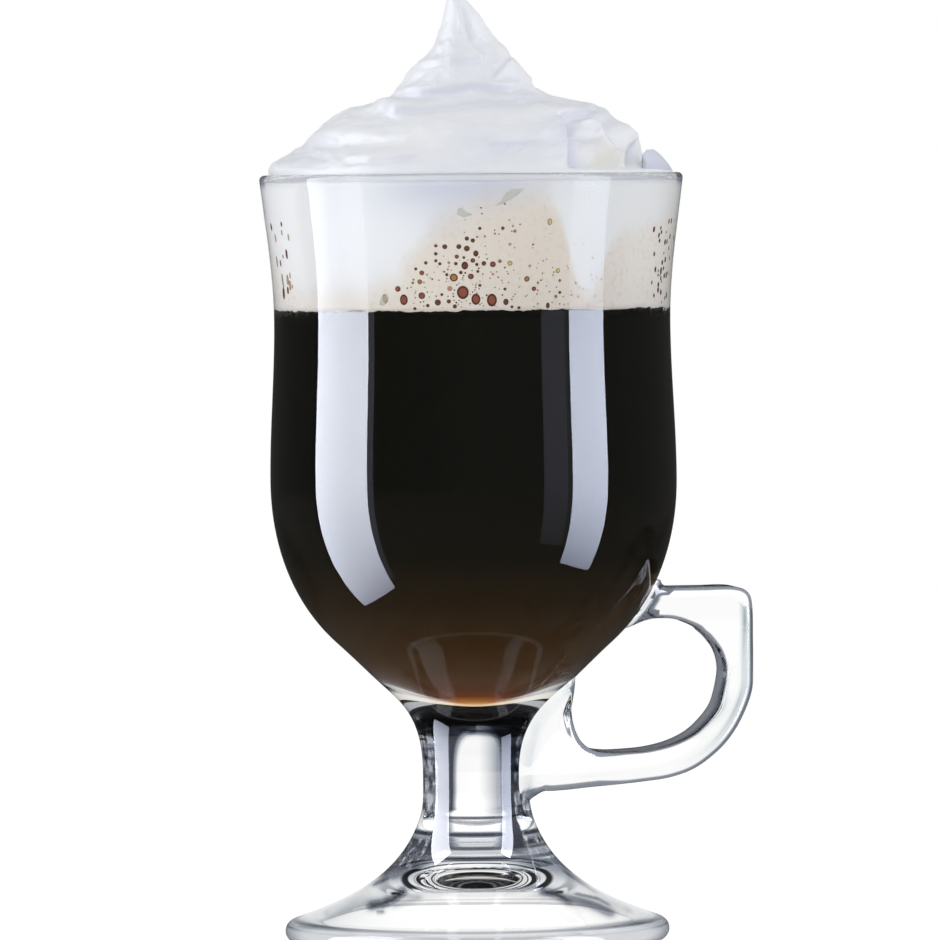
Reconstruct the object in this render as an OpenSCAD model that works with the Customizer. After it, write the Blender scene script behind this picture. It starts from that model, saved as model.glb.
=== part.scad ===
// Stemmed glass coffee mug with a loop handle, filled with black coffee,
// a layer of milk foam and a spooned crown of whipped cream.
// Millimetres, +Z up. The origin is on the axis of the bowl, in the plane of
// the ring that the foot rests on, and the handle points along +X.
// The glass is gathered in four pieces that are fused hot: bowl, stem, foot
// and handle. Heights in each section are measured from that piece's own base.

/* [Foot] */
// Diameter of the foot at its widest, near the table
foot_d = 70; // [56:0.5:84]
// Height of the foot up to its joint with the stem
foot_h = 22.2; // [16:0.1:30]
// Diameter of the foot where it meets the stem
foot_neck_d = 20.8; // [17:0.1:26]
// Radius of the rounded edge of the foot
foot_edge_r = 2; // [1.2:0.1:2.6]
// Width of the flat ring that the foot rests on
foot_ring_w = 3.5; // [2:0.1:12]
// Height at the axis of the domed hollow inside that ring
foot_hollow_h = 12; // [3:0.1:13]

/* [Stem] */
// Height of the stem between foot and bowl
stem_h = 18; // [12:0.1:30]
// Diameter at the waist of the stem
stem_d = 19.4; // [15:0.1:22]
// Diameter of the stem where it meets the bowl
stem_top_d = 23; // [20:0.1:26]

/* [Bowl] */
// Height of the bowl from its joint with the stem to the rim
bowl_h = 99.4; // [86:0.1:124]
// Outer diameter at the rim
rim_d = 77; // [72:0.1:86]
// Outer diameter at the waist below the flared rim
waist_d = 72.1; // [68:0.1:78]
// Height of the waist
waist_h = 72.8; // [60:0.1:80]
// Outer diameter at the belly
belly_d = 74; // [70:0.1:80]
// Height of the belly
belly_h = 43.8; // [34:0.1:52]
// Outer diameter where the belly turns into the taper
taper_d = 50.2; // [44:0.1:58]
// Height of that turn
taper_h = 14.2; // [11:0.1:20]
// Outer diameter of the knuckle below the taper
knuckle_d = 32.2; // [28:0.1:37]
// Height of the knuckle
knuckle_h = 5.7; // [4:0.1:8]
// Wall at the rim, rounded over into the lip
rim_wall = 1.8; // [1.2:0.1:2.6]
// Wall at the waist
waist_wall = 2.4; // [1.6:0.1:3.4]
// Wall at the belly
belly_wall = 2.6; // [1.8:0.1:3.6]
// Wall at the taper
taper_wall = 5.6; // [3:0.1:6.4]
// Glass between the stem joint and the lowest point inside
floor_h = 5.8; // [3:0.1:7]

/* [Handle] */
// Reach of the handle from the axis of the bowl
handle_reach = 50.6; // [46:0.1:60]
// Top of the upper bar, above the stem joint
handle_top = 23.75; // [20:0.05:28]
// Underside of the lower bar at its root, below the stem joint
handle_drop = 13; // [9:0.1:15]
// Depth of the bars from side to side
handle_depth = 12.4; // [9:0.1:15]
// Radius that rounds the long edges of the bars
handle_edge_r = 2.2; // [1:0.1:2.5]
// Extra glass on each side where the bars run into bowl and stem
root_swell = 0.9; // [0.3:0.1:1.8]

/* [Drink] */
// Level of the coffee below the rim
coffee_drop = 24.45; // [18:0.05:50]
// Depth of the milk foam on the axis
foam_h = 14.2; // [9:0.1:17]
// Slope of the foam under the cream, in degrees, rising towards the handle
foam_slope = 13; // [0:0.5:15]
// Height of the cream's peak above the rim
cream_h = 32.8; // [20:0.1:45]
// How far the peak leans away from the handle
cream_lean = 2.6; // [0:0.1:5]
// Gap that keeps drink and glass apart as solids
wet_gap = 0.05; // [0.02:0.01:0.2]

/* [Hidden] */
$fn = 96;

// Steps along each curve of a profile
curve_steps = 12;

// Levels, all worked up from the table
stem_z = foot_h;
bowl_z = foot_h + stem_h;
rim_z = bowl_z + bowl_h;
floor_z = bowl_z + floor_h;
coffee_z = rim_z - coffee_drop;
foam_z = coffee_z + foam_h;
lip_r = rim_wall / 2;
lip_z = rim_z - lip_r;

// Directions of the wall in degrees, where it isn't upright
foot_hollow_angle = 150;
foot_brim_angle = -19.3;
foot_neck_angle = -71;
stem_top_angle = -115.5;
taper_angle = -138;
rim_angle = -96.6;
down = -90;

// A cubic curve from a to b that leaves at angle_a and arrives at angle_b.
// The pulls say how far each direction holds, as shares of the span.
even_shares = [0.35, 0.35];
floor_shares = [0.22, 0.25];
flare_shares = [0.385, 0.34];
hollow_shares = [0.4, 0.4];
function curve(a, b, angle_a, angle_b, pull_shares = even_shares) =
    let (
        span = norm(b - a),
        c = a + pull_shares[0] * span * [cos(angle_a), sin(angle_a)],
        d = b - pull_shares[1] * span * [cos(angle_b), sin(angle_b)]
    )
    [for (i = [0 : curve_steps]) let (t = i / curve_steps, s = 1 - t)
        s * s * s * a + 3 * s * s * t * c + 3 * s * t * t * d + t * t * t * b];

// Points of an arc round a centre
function arc(centre, r, from, to, steps = curve_steps) =
    [for (i = [0 : steps]) let (v = from + (to - from) * i / steps)
        centre + r * [cos(v), sin(v)]];

// A list of points without repeats of the point before
function without_repeats(points) =
    [for (i = [0 : len(points) - 1])
        if (i == 0 || norm(points[i] - points[i - 1]) > 0.001 * wet_gap) points[i]];

// Joints of the glass, as points [radius, height]
foot_neck = [foot_neck_d / 2, stem_z];
stem_top = [stem_top_d / 2, bowl_z];

// Outside of the bowl, from the lip down to the stem
waist = [waist_d / 2, bowl_z + waist_h];
belly = [belly_d / 2, bowl_z + belly_h];
taper = [taper_d / 2, bowl_z + taper_h];
knuckle = [knuckle_d / 2, bowl_z + knuckle_h];
bowl_outside = without_repeats(concat(
    curve([rim_d / 2, lip_z], waist, rim_angle, down),
    curve(waist, belly, down, down),
    curve(belly, taper, down, taper_angle),
    curve(taper, knuckle, taper_angle, taper_angle),
    curve(knuckle, stem_top, taper_angle, stem_top_angle)));

// Inside of the bowl, from its lowest point up to the lip
inward = [sin(taper_angle), -cos(taper_angle)];
bowl_inside = without_repeats(concat(
    curve([0, floor_z], taper + taper_wall * inward, 0, taper_angle + 180, floor_shares),
    curve(taper + taper_wall * inward, belly - [belly_wall, 0], taper_angle + 180, 90),
    curve(belly - [belly_wall, 0], waist - [waist_wall, 0], 90, 90),
    curve(waist - [waist_wall, 0], [rim_d / 2 - rim_wall, lip_z], 90, rim_angle + 180)));

// Radius of the inside at a height
inside_by_height = [for (p = bowl_inside) [p[1], p[0]]];
function inside_r(z) = lookup(z, inside_by_height);

// Outline of the stem's side, from the bowl down to the foot
stem_waist_share = 0.42;
stem_side = without_repeats(concat(
    curve(stem_top, [stem_d / 2, stem_z + stem_waist_share * stem_h], stem_top_angle, down),
    curve([stem_d / 2, stem_z + stem_waist_share * stem_h], foot_neck, down, foot_neck_angle)));

module bowl() {
    color([0.84, 0.89, 0.92, 0.4])
    rotate_extrude()
        polygon(without_repeats(concat(
            bowl_outside,
            [[0, bowl_z]],
            bowl_inside,
            arc([rim_d / 2 - lip_r, lip_z], lip_r, 180, 0))));
}

module stem() {
    color([0.80, 0.86, 0.90, 0.4])
    rotate_extrude()
        polygon(concat(stem_side, [[0, stem_z], [0, bowl_z]]));
}

// A trumpet foot with a rounded edge, on a flat ring round a domed hollow
module foot() {
    edge_centre = [foot_d / 2 - foot_edge_r, foot_edge_r];
    brim_end = edge_centre + foot_edge_r * [-sin(foot_brim_angle), cos(foot_brim_angle)];
    hollow_r = foot_d / 2 - foot_edge_r - foot_ring_w;
    color([0.82, 0.88, 0.92, 0.4])
    rotate_extrude()
        polygon(without_repeats(concat(
            curve(foot_neck, brim_end, foot_neck_angle, foot_brim_angle, flare_shares),
            arc(edge_centre, foot_edge_r, 90 + foot_brim_angle, -90),
            curve([hollow_r, 0], [0, foot_hollow_h], foot_hollow_angle, 180, hollow_shares),
            [[0, stem_z]])));
}

// The handle's centre plane is XZ. Each station gives the outer and the inner
// edge of the bar as shares [outer x, outer z, inner x, inner z] of the reach
// and of the height from the lower root to the top, from the upper root inside
// the bowl wall, round the squared corner and the grip, to the lower root
// inside the stem.
station_shares = [
    [0.58, 1.13, 0.48, 0.825],
    [0.67, 1.05, 0.60, 0.838],
    [0.74, 1.005, 0.67, 0.848],
    [0.83, 1.00, 0.73, 0.838],
    [0.93, 1.00, 0.80, 0.80],
    [0.983, 0.974, 0.822, 0.775],
    [1.00, 0.906, 0.848, 0.742],
    [1.002, 0.75, 0.883, 0.673],
    [1.002, 0.59, 0.897, 0.587],
    [0.998, 0.49, 0.888, 0.496],
    [0.973, 0.388, 0.868, 0.407],
    [0.932, 0.283, 0.83, 0.336],
    [0.875, 0.19, 0.778, 0.273],
    [0.79, 0.103, 0.708, 0.227],
    [0.70, 0.058, 0.627, 0.20],
    [0.61, 0.04, 0.548, 0.19],
    [0.505, 0.026, 0.468, 0.188],
    [0.405, 0.015, 0.41, 0.203],
    [0.325, 0.005, 0.37, 0.246],
    [0.265, -0.005, 0.345, 0.319],
    [0.232, -0.02, 0.335, 0.405],
    [0.195, -0.07, 0.331, 0.55],
    [0.08, -0.08, 0.16, 0.595],
];
ring_steps = 2;
edge_steps = 4;
swell_reach_share = 0.1;

// Smooth interpolation through the rows of a table, at a real-valued row
function row(table, i) = table[max(0, min(len(table) - 1, i))];
function between(table, at) =
    let (i = floor(at), t = at - i,
        p = row(table, i - 1), q = row(table, i),
        r = row(table, i + 1), s = row(table, i + 2))
    0.5 * (2 * q + (r - p) * t + (2 * p - 5 * q + 4 * r - s) * t * t
        + (3 * q - p - 3 * r + s) * t * t * t);

// Quarter rounds at the four corners of a bar that is w wide and d deep
function bar_section(w, d) =
    let (r = min(handle_edge_r, w / 2, d / 2))
    [for (k = [0 : 3], i = [0 : edge_steps])
        let (v = 90 * k + 90 * i / edge_steps,
            sx = (k == 0 || k == 3) ? 1 : -1,
            sy = k < 2 ? 1 : -1)
        [sx * (w / 2 - r) + r * cos(v), sy * (d / 2 - r) + r * sin(v)]];

function handle_ring(at) =
    let (
        share = between(station_shares, at),
        height = handle_top + handle_drop,
        base_z = bowl_z - handle_drop,
        outer = [share[0] * handle_reach, base_z + share[1] * height],
        inner = [share[2] * handle_reach, base_z + share[3] * height],
        last = len(station_shares) - 1,
        from_root = min(at, last - at) / last,
        swell = root_swell * pow(max(0, 1 - from_root / swell_reach_share), 2),
        middle = (outer + inner) / 2,
        across = (outer - inner) / norm(outer - inner)
    )
    [for (q = bar_section(norm(outer - inner), handle_depth + 2 * swell))
        [middle[0] + q[0] * across[0], q[1], middle[1] + q[0] * across[1]]];

// A closed skin over a stack of rings with the same number of points
module skin(rings) {
    n = len(rings[0]);
    m = len(rings);
    points = concat([for (ring = rings) each ring],
        [for (ring = [rings[0], rings[m - 1]]) [for (p = ring) 1] * ring / n]);
    sides = [for (j = [0 : m - 2], i = [0 : n - 1])
        let (a = j * n + i, b = j * n + (i + 1) % n)
        each [[a, b, b + n], [a, b + n, a + n]]];
    ends = [for (i = [0 : n - 1])
        each [[m * n, (i + 1) % n, i],
            [m * n + 1, (m - 1) * n + i, (m - 1) * n + (i + 1) % n]]];
    polyhedron(points, concat(sides, ends), convexity = 6);
}

module handle() {
    color([0.88, 0.92, 0.95, 0.4])
    difference() {
        skin([for (j = [0 : ring_steps * (len(station_shares) - 1)])
            handle_ring(j / ring_steps)]);
        rotate_extrude()
            polygon(concat(bowl_outside, stem_side, [[0, stem_z], [0, lip_z]]));
    }
}

// The wetted inside below a level, one gap clear of the glass
function wetted(low, high) =
    concat([[max(0, inside_r(low) - wet_gap), low]],
        [for (p = bowl_inside)
            if (p[1] + wet_gap > low && p[1] + wet_gap < high)
                [max(0, p[0] - wet_gap), p[1] + wet_gap]],
        [[inside_r(high) - wet_gap, high]]);

module coffee() {
    color([0.10, 0.05, 0.03])
    rotate_extrude()
        polygon(without_repeats(concat(
            [[0, floor_z + wet_gap]],
            wetted(floor_z + wet_gap, coffee_z),
            [[0, coffee_z]])));
}

// The foam rises in a slope under the cream
module milk_foam() {
    color([0.90, 0.83, 0.74])
    difference() {
        rotate_extrude()
            polygon(concat([[0, coffee_z]], wetted(coffee_z, lip_z), [[0, lip_z]]));
        translate([0, 0, foam_z - wet_gap])
            rotate([0, -foam_slope, 0])
                translate([-rim_d, -rim_d, 0])
                    cube([2 * rim_d, 2 * rim_d, rim_d]);
    }
}

// The crown of cream, row by row: height as a share of the crown's height, radius
// as a share of the mouth's, and how far the row stands off the axis, away from
// the handle, as a share of the peak's lean. The rows widen into a shoulder,
// step in to a ledge and run up the cone to the peak.
crown_shares = [
    [0.00, 0.985, 0.00], [0.035, 0.97, 0.42], [0.08, 0.91, 0.80], [0.10, 0.89, 0.65],
    [0.13, 0.845, 0.07], [0.21, 0.81, -0.18], [0.29, 0.72, -0.28], [0.34, 0.66, -0.42],
    [0.37, 0.595, -0.21], [0.39, 0.49, -0.25], [0.425, 0.395, -0.07], [0.475, 0.34, 0.14],
    [0.565, 0.28, 0.28], [0.65, 0.215, 0.00], [0.785, 0.125, 0.35], [0.875, 0.087, 0.58],
    [0.965, 0.044, 0.96], [1.00, 0.01, 1.00],
];
crown_radius_shares = [for (row = crown_shares) [row[0], row[1]]];
crown_lean_shares = [for (row = crown_shares) [row[0], row[2]]];
crown_rings = 44;
plug_rings = 4;
cream_sides = 48;
lobes = 3;
lobe_share = 0.025;
ripples = 7;
ripple_share = 0.022;
swirl = 300;

// Folds stand out most half way up and fade at the glass and at the peak
function fold(h, v) =
    let (strength = sin(180 * pow(h, 0.6)))
    1 + strength * (lobe_share * cos(lobes * v + swirl * h)
        + ripple_share * cos(ripples * v - swirl * h));

function crown_ring(h) =
    let (
        r = (rim_d / 2 - rim_wall) * lookup(h, crown_radius_shares),
        x = -cream_lean * lookup(h, crown_lean_shares)
    )
    [for (i = [0 : cream_sides - 1]) let (v = 360 * i / cream_sides)
        [x + r * fold(h, v) * cos(v), r * fold(h, v) * sin(v), rim_z + wet_gap + h * cream_h]];

// Rings inside the glass, from the foam's slope up to the lip
function plug_ring(level) =
    [for (i = [0 : cream_sides - 1])
        let (v = 360 * i / cream_sides,
            low = foam_z + (inside_r(foam_z) - wet_gap) * cos(v) * tan(foam_slope),
            z = low + level * (lip_z - low),
            r = inside_r(z) - wet_gap)
        [r * cos(v), r * sin(v), level == 0 ? foam_z + r * cos(v) * tan(foam_slope) : z]];

module whipped_cream() {
    color([0.97, 0.97, 0.98])
        skin(concat(
            [for (j = [0 : plug_rings]) plug_ring(j / plug_rings)],
            [for (j = [0 : crown_rings]) crown_ring(j / crown_rings)]));
}

bowl();
stem();
foot();
handle();
coffee();
milk_foam();
whipped_cream();
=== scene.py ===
import math
import random
from functools import partialmethod

import bmesh
import bpy
import numpy as np
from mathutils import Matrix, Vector, noise


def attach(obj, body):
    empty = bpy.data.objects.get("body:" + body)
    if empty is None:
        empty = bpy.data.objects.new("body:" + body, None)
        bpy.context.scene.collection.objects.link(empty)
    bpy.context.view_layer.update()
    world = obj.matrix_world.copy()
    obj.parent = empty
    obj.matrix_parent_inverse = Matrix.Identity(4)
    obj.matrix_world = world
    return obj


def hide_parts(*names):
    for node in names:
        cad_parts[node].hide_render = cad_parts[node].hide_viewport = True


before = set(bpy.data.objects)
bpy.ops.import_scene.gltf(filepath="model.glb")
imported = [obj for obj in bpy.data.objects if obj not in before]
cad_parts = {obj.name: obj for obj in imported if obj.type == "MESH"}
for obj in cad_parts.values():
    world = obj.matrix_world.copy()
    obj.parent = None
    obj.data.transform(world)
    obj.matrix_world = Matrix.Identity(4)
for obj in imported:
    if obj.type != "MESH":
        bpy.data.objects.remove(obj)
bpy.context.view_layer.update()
BODY = "root"
MM = 0.001

# Sizes of the glass in millimetres, heights from the table
FOOT_R, FOOT_H, FOOT_NECK_R, FOOT_EDGE_R = 35.0, 22.2, 10.4, 2.0
HOLLOW_R, HOLLOW_H = 29.5, 12.0
STEM_TOP_Z, STEM_R, STEM_WAIST_Z = 40.2, 9.7, 29.76
RIM_Z, RIM_R, RIM_WALL = 139.6, 38.5, 1.8
LIP_R = RIM_WALL / 2
LIP_Z = RIM_Z - LIP_R
WAIST, WAIST_WALL = (36.05, 113.0), 2.4
BELLY, BELLY_WALL = (37.0, 84.0), 2.6
TAPER, TAPER_WALL = (25.1, 54.4), 5.6
KNUCKLE = (16.1, 45.9)
STEM_TOP = (11.5, STEM_TOP_Z)
FLOOR_Z = 46.8

# Directions of the wall in degrees
BRIM_ANGLE, NECK_ANGLE, STEM_TOP_ANGLE, TAPER_ANGLE, RIM_ANGLE, DOWN = -19.3, -71, -115.5, -138, -96.6, -90

# The drink, which reaches a hair into the wall, because a liquid leaves no air at the glass
COFFEE_Z, WETTING = 115.15, 0.05
GLASS_IOR, LIQUID_IOR = 1.5, 1.33

# Steps of the meshes, and how near two places or a place and the axis are taken as one
FOOT_STEPS, GLASS_SIDES, DRINK_SIDES = 44, 240, 480
SAME_PLACE, ON_AXIS = 1e-4, 1e-5

# The camera: the photograph's frame is 940 pixels wide, and places in it are columns and rows
PHOTO = 940
PIXEL = 0.182 * MM
AZIMUTH, DISTANCE, EYE_ROW, BASE_ROW, ROLL = -8.5, 1.5, 205, 941, 0.5
AXIS_OFFSET = 3.5
# How far the axis of the glass leans in the photograph, in columns a row
AXIS_LEAN = 0.9 * math.tan(math.radians(ROLL))
# Directions round the glass are given in degrees from the front, positive to the viewer's right
FRONT = AZIMUTH - 90


def direction(angle):
    """Unit vector at an angle in degrees."""
    return np.array([math.cos(math.radians(angle)), math.sin(math.radians(angle))])


def curve(a, b, angle_a, angle_b, pull_a=0.35, pull_b=0.35, steps=16):
    """Points of a cubic curve from a to b that leaves at angle_a and arrives at angle_b."""
    a, b = np.array(a, float), np.array(b, float)
    span = np.linalg.norm(b - a)
    c = a + pull_a * span * direction(angle_a)
    d = b - pull_b * span * direction(angle_b)
    t = np.linspace(0, 1, steps + 1)[:, None]
    s = 1 - t
    return list(s**3 * a + 3 * s * s * t * c + 3 * s * t * t * d + t**3 * b)


def circle(sides):
    """Angles round a circle."""
    return [2 * math.pi * i / sides for i in range(sides)]


def arc(centre, r, start, end, steps=12):
    v = np.radians(np.linspace(start, end, steps + 1))
    return list(np.array(centre) + r * np.stack([np.cos(v), np.sin(v)], 1))


def joined(*runs):
    """The runs as one line of points, without repeats."""
    points = [p for run in runs for p in run]
    kept = [points[0]]
    for p in points[1:]:
        if np.linalg.norm(np.array(p) - np.array(kept[-1])) > SAME_PLACE:
            kept.append(p)
    return kept


# Outlines of the glass, as points (radius, height)
INNER_TAPER = np.array(TAPER) + TAPER_WALL * direction(TAPER_ANGLE - 90)
INNER_BELLY = (BELLY[0] - BELLY_WALL, BELLY[1])
INNER_WAIST = (WAIST[0] - WAIST_WALL, WAIST[1])
STEM_WAIST = (STEM_R, STEM_WAIST_Z)
FOOT_NECK = (FOOT_NECK_R, FOOT_H)
EDGE_CENTRE = np.array([FOOT_R - FOOT_EDGE_R, FOOT_EDGE_R])
BRIM_END = EDGE_CENTRE + FOOT_EDGE_R * direction(BRIM_ANGLE + 90)
bowl_outside = joined(
    curve((RIM_R, LIP_Z), WAIST, RIM_ANGLE, DOWN),
    curve(WAIST, BELLY, DOWN, DOWN),
    curve(BELLY, TAPER, DOWN, TAPER_ANGLE, steps=20),
    curve(TAPER, KNUCKLE, TAPER_ANGLE, TAPER_ANGLE, steps=8),
    curve(KNUCKLE, STEM_TOP, TAPER_ANGLE, STEM_TOP_ANGLE, steps=10),
)
stem_side = joined(
    curve(STEM_TOP, STEM_WAIST, STEM_TOP_ANGLE, DOWN),
    curve(STEM_WAIST, FOOT_NECK, DOWN, NECK_ANGLE, steps=10),
)
foot_side = joined(
    curve(FOOT_NECK, BRIM_END, NECK_ANGLE, BRIM_ANGLE, 0.385, 0.34, steps=FOOT_STEPS),
    arc(EDGE_CENTRE, FOOT_EDGE_R, BRIM_ANGLE + 90, -90),
    curve((HOLLOW_R, 0), (0, HOLLOW_H), 150, 180, 0.4, 0.4, steps=24),
)
bowl_inside = joined(
    curve((0, FLOOR_Z), INNER_TAPER, 0, TAPER_ANGLE + 180, 0.22, 0.25, steps=20),
    curve(INNER_TAPER, INNER_BELLY, TAPER_ANGLE + 180, 90, steps=20),
    curve(INNER_BELLY, INNER_WAIST, 90, 90),
    curve(INNER_WAIST, (RIM_R - RIM_WALL, LIP_Z), 90, RIM_ANGLE + 180),
)
lip = arc((RIM_R - LIP_R, LIP_Z), LIP_R, 180, 0)
# The outside from the foot's edge to the rim and the inside from the floor up, as radii and heights
side_r, side_z = np.array(bowl_outside + stem_side + foot_side[:FOOT_STEPS + 1])[::-1].T
inner_r, inner_z = np.array(bowl_inside).T


def inside(z):
    """Radius of the inner wall at a height."""
    return float(np.interp(z, inner_z, inner_r))


def off_glass(x, y, z):
    """Distance in millimetres of a point outside the bowl, stem and foot from their surface."""
    slope = np.interp(z + 0.5, side_z, side_r) - np.interp(z - 0.5, side_z, side_r)
    return (math.hypot(x, y) - np.interp(z, side_z, side_r)) / math.hypot(1, slope)


def round_axis(turn, r, z):
    """A point at an angle from the front, a radius and a height, in metres."""
    v = math.radians(FRONT + turn)
    return Vector((r * math.cos(v), r * math.sin(v), z)) * MM


def turn_between(a, b):
    return (a - b + 180) % 360 - 180


def along(points, at):
    """Value at a place on a line through (place, value) points, level past its ends."""
    return np.interp(at, [p[0] for p in points], [p[1] for p in points])


def share_between(value, low, high):
    """0 at low and 1 at high, and level past both."""
    return min(1.0, max(0.0, (value - low) / (high - low)))


def axis_column(row):
    """Column of the axis of the glass at a row of the photograph."""
    return PHOTO / 2 + AXIS_OFFSET + (row - EYE_ROW) * AXIS_LEAN


def bridge(bm, low, high):
    """Faces between two closed rings of points, either of which may be a single point."""
    sides = max(len(low), len(high))
    faces = []
    for i in range(sides):
        k = (i + 1) % sides
        corners = [low[i % len(low)], low[k % len(low)], high[k % len(high)], high[i % len(high)]]
        faces.append(bm.faces.new(list(dict.fromkeys(corners))))
    return faces


def close_rings(bm, rings):
    """Faces over rings with the same number of points each, capped at both ends."""
    for low, high in zip(rings, rings[1:]):
        bridge(bm, low, high)
    for ring in (rings[0], rings[-1]):
        centre = bm.verts.new(sum((v.co for v in ring), Vector()) / len(ring))
        bridge(bm, ring, [centre])


def finish_mesh(name, bm):
    bmesh.ops.recalc_face_normals(bm, faces=bm.faces)
    for f in bm.faces:
        f.smooth = True
    mesh = bpy.data.meshes.new(name)
    bm.to_mesh(mesh)
    bm.free()
    piece = bpy.data.objects.new(name, mesh)
    bpy.context.scene.collection.objects.link(piece)
    return piece


def revolve(name, profile, sides):
    """A closed surface about the Z axis, from a profile in millimetres that starts and ends on the axis."""
    bm = bmesh.new()
    rings = []
    for r, z in profile:
        spots = circle(sides) if r > ON_AXIS else [0.0]
        rings.append([bm.verts.new((r * MM * math.cos(v), r * MM * math.sin(v), z * MM)) for v in spots])
    for low, high in zip(rings, rings[1:]):
        bridge(bm, low, high)
    return finish_mesh(name, bm)


def skin(name, rings):
    """A closed surface over rings of places with the same number of points each."""
    bm = bmesh.new()
    close_rings(bm, [[bm.verts.new(p) for p in ring] for ring in rings])
    return finish_mesh(name, bm)


def write_values(piece, names, values_at):
    """Stores at each point of a mesh the named values that a function gives for its place in millimetres."""
    for name in names:
        piece.data.attributes.new(name, "FLOAT", "POINT")
    stores = [piece.data.attributes[name].data for name in names]
    for v in piece.data.vertices:
        for store, value in zip(stores, values_at(v.co / MM)):
            store[v.index].value = value


# The handle: stations from the upper root to the lower one, each as the outer and
# inner edge of the bar, in shares of the reach and of the height between the roots
STATIONS = np.array([
    [0.56, 1.00, 0.46, 0.835],
    [0.66, 1.00, 0.58, 0.843],
    [0.74, 1.00, 0.67, 0.848],
    [0.83, 1.00, 0.73, 0.838],
    [0.93, 1.00, 0.80, 0.80],
    [0.983, 0.974, 0.822, 0.775],
    [1.00, 0.906, 0.848, 0.742],
    [1.002, 0.75, 0.883, 0.673],
    [1.002, 0.59, 0.897, 0.587],
    [0.998, 0.49, 0.888, 0.496],
    [0.973, 0.388, 0.868, 0.407],
    [0.932, 0.283, 0.83, 0.336],
    [0.875, 0.19, 0.778, 0.273],
    [0.79, 0.103, 0.708, 0.227],
    [0.70, 0.058, 0.627, 0.20],
    [0.61, 0.04, 0.548, 0.19],
    [0.505, 0.026, 0.468, 0.188],
    [0.405, 0.015, 0.41, 0.203],
    [0.325, 0.005, 0.37, 0.246],
    [0.265, 0.00, 0.345, 0.319],
    [0.232, 0.00, 0.335, 0.405],
    [0.195, -0.01, 0.331, 0.55],
    [0.08, -0.02, 0.16, 0.595],
])
REACH, HANDLE_BASE_Z, HANDLE_HEIGHT = 50.6, 27.2, 36.75
HANDLE_DEPTH, HANDLE_EDGE_R, ROOT_FILLET, SIDE_FILLET_SHARE = 12.4, 2.2, 3.4, 0.4
RING_STEPS, EDGE_STEPS, FLAT_STEPS = 7, 7, 10
# How near the glass the fillet of the roots stops growing, as a share of its size
FILLET_END = 0.12
CREASE_ANGLE = 38


def between(table, at):
    """Smooth interpolation through the rows of a table, at a real-valued row."""
    i = math.floor(at)
    t = at - i
    p, q, r, s = (table[max(0, min(len(table) - 1, i + k))] for k in (-1, 0, 1, 2))
    return 0.5 * (2 * q + (r - p) * t + (2 * p - 5 * q + 4 * r - s) * t * t + (3 * q - p - 3 * r + s) * t**3)


def fillet(distance):
    """How far the bar swells at a distance from the glass."""
    d = min(1.0, max(FILLET_END, distance / ROOT_FILLET))
    return ROOT_FILLET * (1 - math.sqrt(1 - (1 - d) ** 2))


def bar_section(w, d):
    """Points and outward directions round a bar that is w wide and d deep, with rounded edges."""
    r = min(HANDLE_EDGE_R, w / 2, d / 2)
    points = []
    for k, (sx, sy) in enumerate(((1, 1), (-1, 1), (-1, -1), (1, -1))):
        for i in range(EDGE_STEPS + 1):
            v = math.radians(90 * k + 90 * i / EDGE_STEPS)
            across, deep = math.cos(v), math.sin(v)
            points.append((sx * (w / 2 - r) + r * across, sy * (d / 2 - r) + r * deep, across, deep))
        if k in (0, 2):
            for i in range(1, FLAT_STEPS):
                x = sx * (w / 2 - r) * (1 - 2 * i / FLAT_STEPS)
                points.append((x, sy * d / 2, 0, sy))
    return points


def handle_ring(at):
    """One section of the handle, as places round it, at a real-valued row of its stations."""
    share = between(STATIONS, at)
    outer = np.array([share[0] * REACH, HANDLE_BASE_Z + share[1] * HANDLE_HEIGHT])
    inner = np.array([share[2] * REACH, HANDLE_BASE_Z + share[3] * HANDLE_HEIGHT])
    width = np.linalg.norm(outer - inner)
    across = (outer - inner) / width
    ring = []
    for u, y, du, dy in bar_section(width, HANDLE_DEPTH):
        x, z = (outer + inner) / 2 + u * across
        s = fillet(off_glass(x, y, z))
        side = s * dy * SIDE_FILLET_SHARE
        ring.append(((x + s * du * across[0]) * MM, (y + side) * MM, (z + s * du * across[1]) * MM))
    return ring


def make_glass():
    """Bowl, stem, foot and handle as one mesh."""
    body = revolve("glass_mug", joined(bowl_inside, lip, bowl_outside, stem_side, foot_side), GLASS_SIDES)
    last = (len(STATIONS) - 1) * RING_STEPS
    loop = skin("loop", [handle_ring(j / RING_STEPS) for j in range(last + 1)])
    union = body.modifiers.new("union", "BOOLEAN")
    union.operation = "UNION"
    union.object = loop
    union.solver = "EXACT"
    graph = bpy.context.evaluated_depsgraph_get()
    graph.update()
    whole = bpy.data.meshes.new_from_object(body.evaluated_get(graph))
    body.modifiers.clear()
    body.data = whole
    bpy.data.objects.remove(loop)
    for f in body.data.polygons:
        f.use_smooth = True
    body.data.set_sharp_from_angle(angle=math.radians(CREASE_ANGLE))
    return body


class Field:
    """A number that a node tree works out at each place, so that sums of such numbers read as plain ones."""

    def __init__(self, socket):
        self.socket = socket
        self.tree = socket.id_data

    def maths(self, operation, *others):
        return maths(self.tree, operation, self, *others)

    def __rsub__(self, other):
        return maths(self.tree, "SUBTRACT", other, self)

    __abs__ = partialmethod(maths, "ABSOLUTE")
    __add__ = partialmethod(maths, "ADD")
    __sub__ = partialmethod(maths, "SUBTRACT")
    __mul__ = partialmethod(maths, "MULTIPLY")
    __truediv__ = partialmethod(maths, "DIVIDE")
    __gt__ = partialmethod(maths, "GREATER_THAN")
    __lt__ = partialmethod(maths, "LESS_THAN")


def maths(tree, operation, *values):
    return Field(add_node(tree, "Math", enumerate(values), operation=operation).outputs[0])


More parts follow.
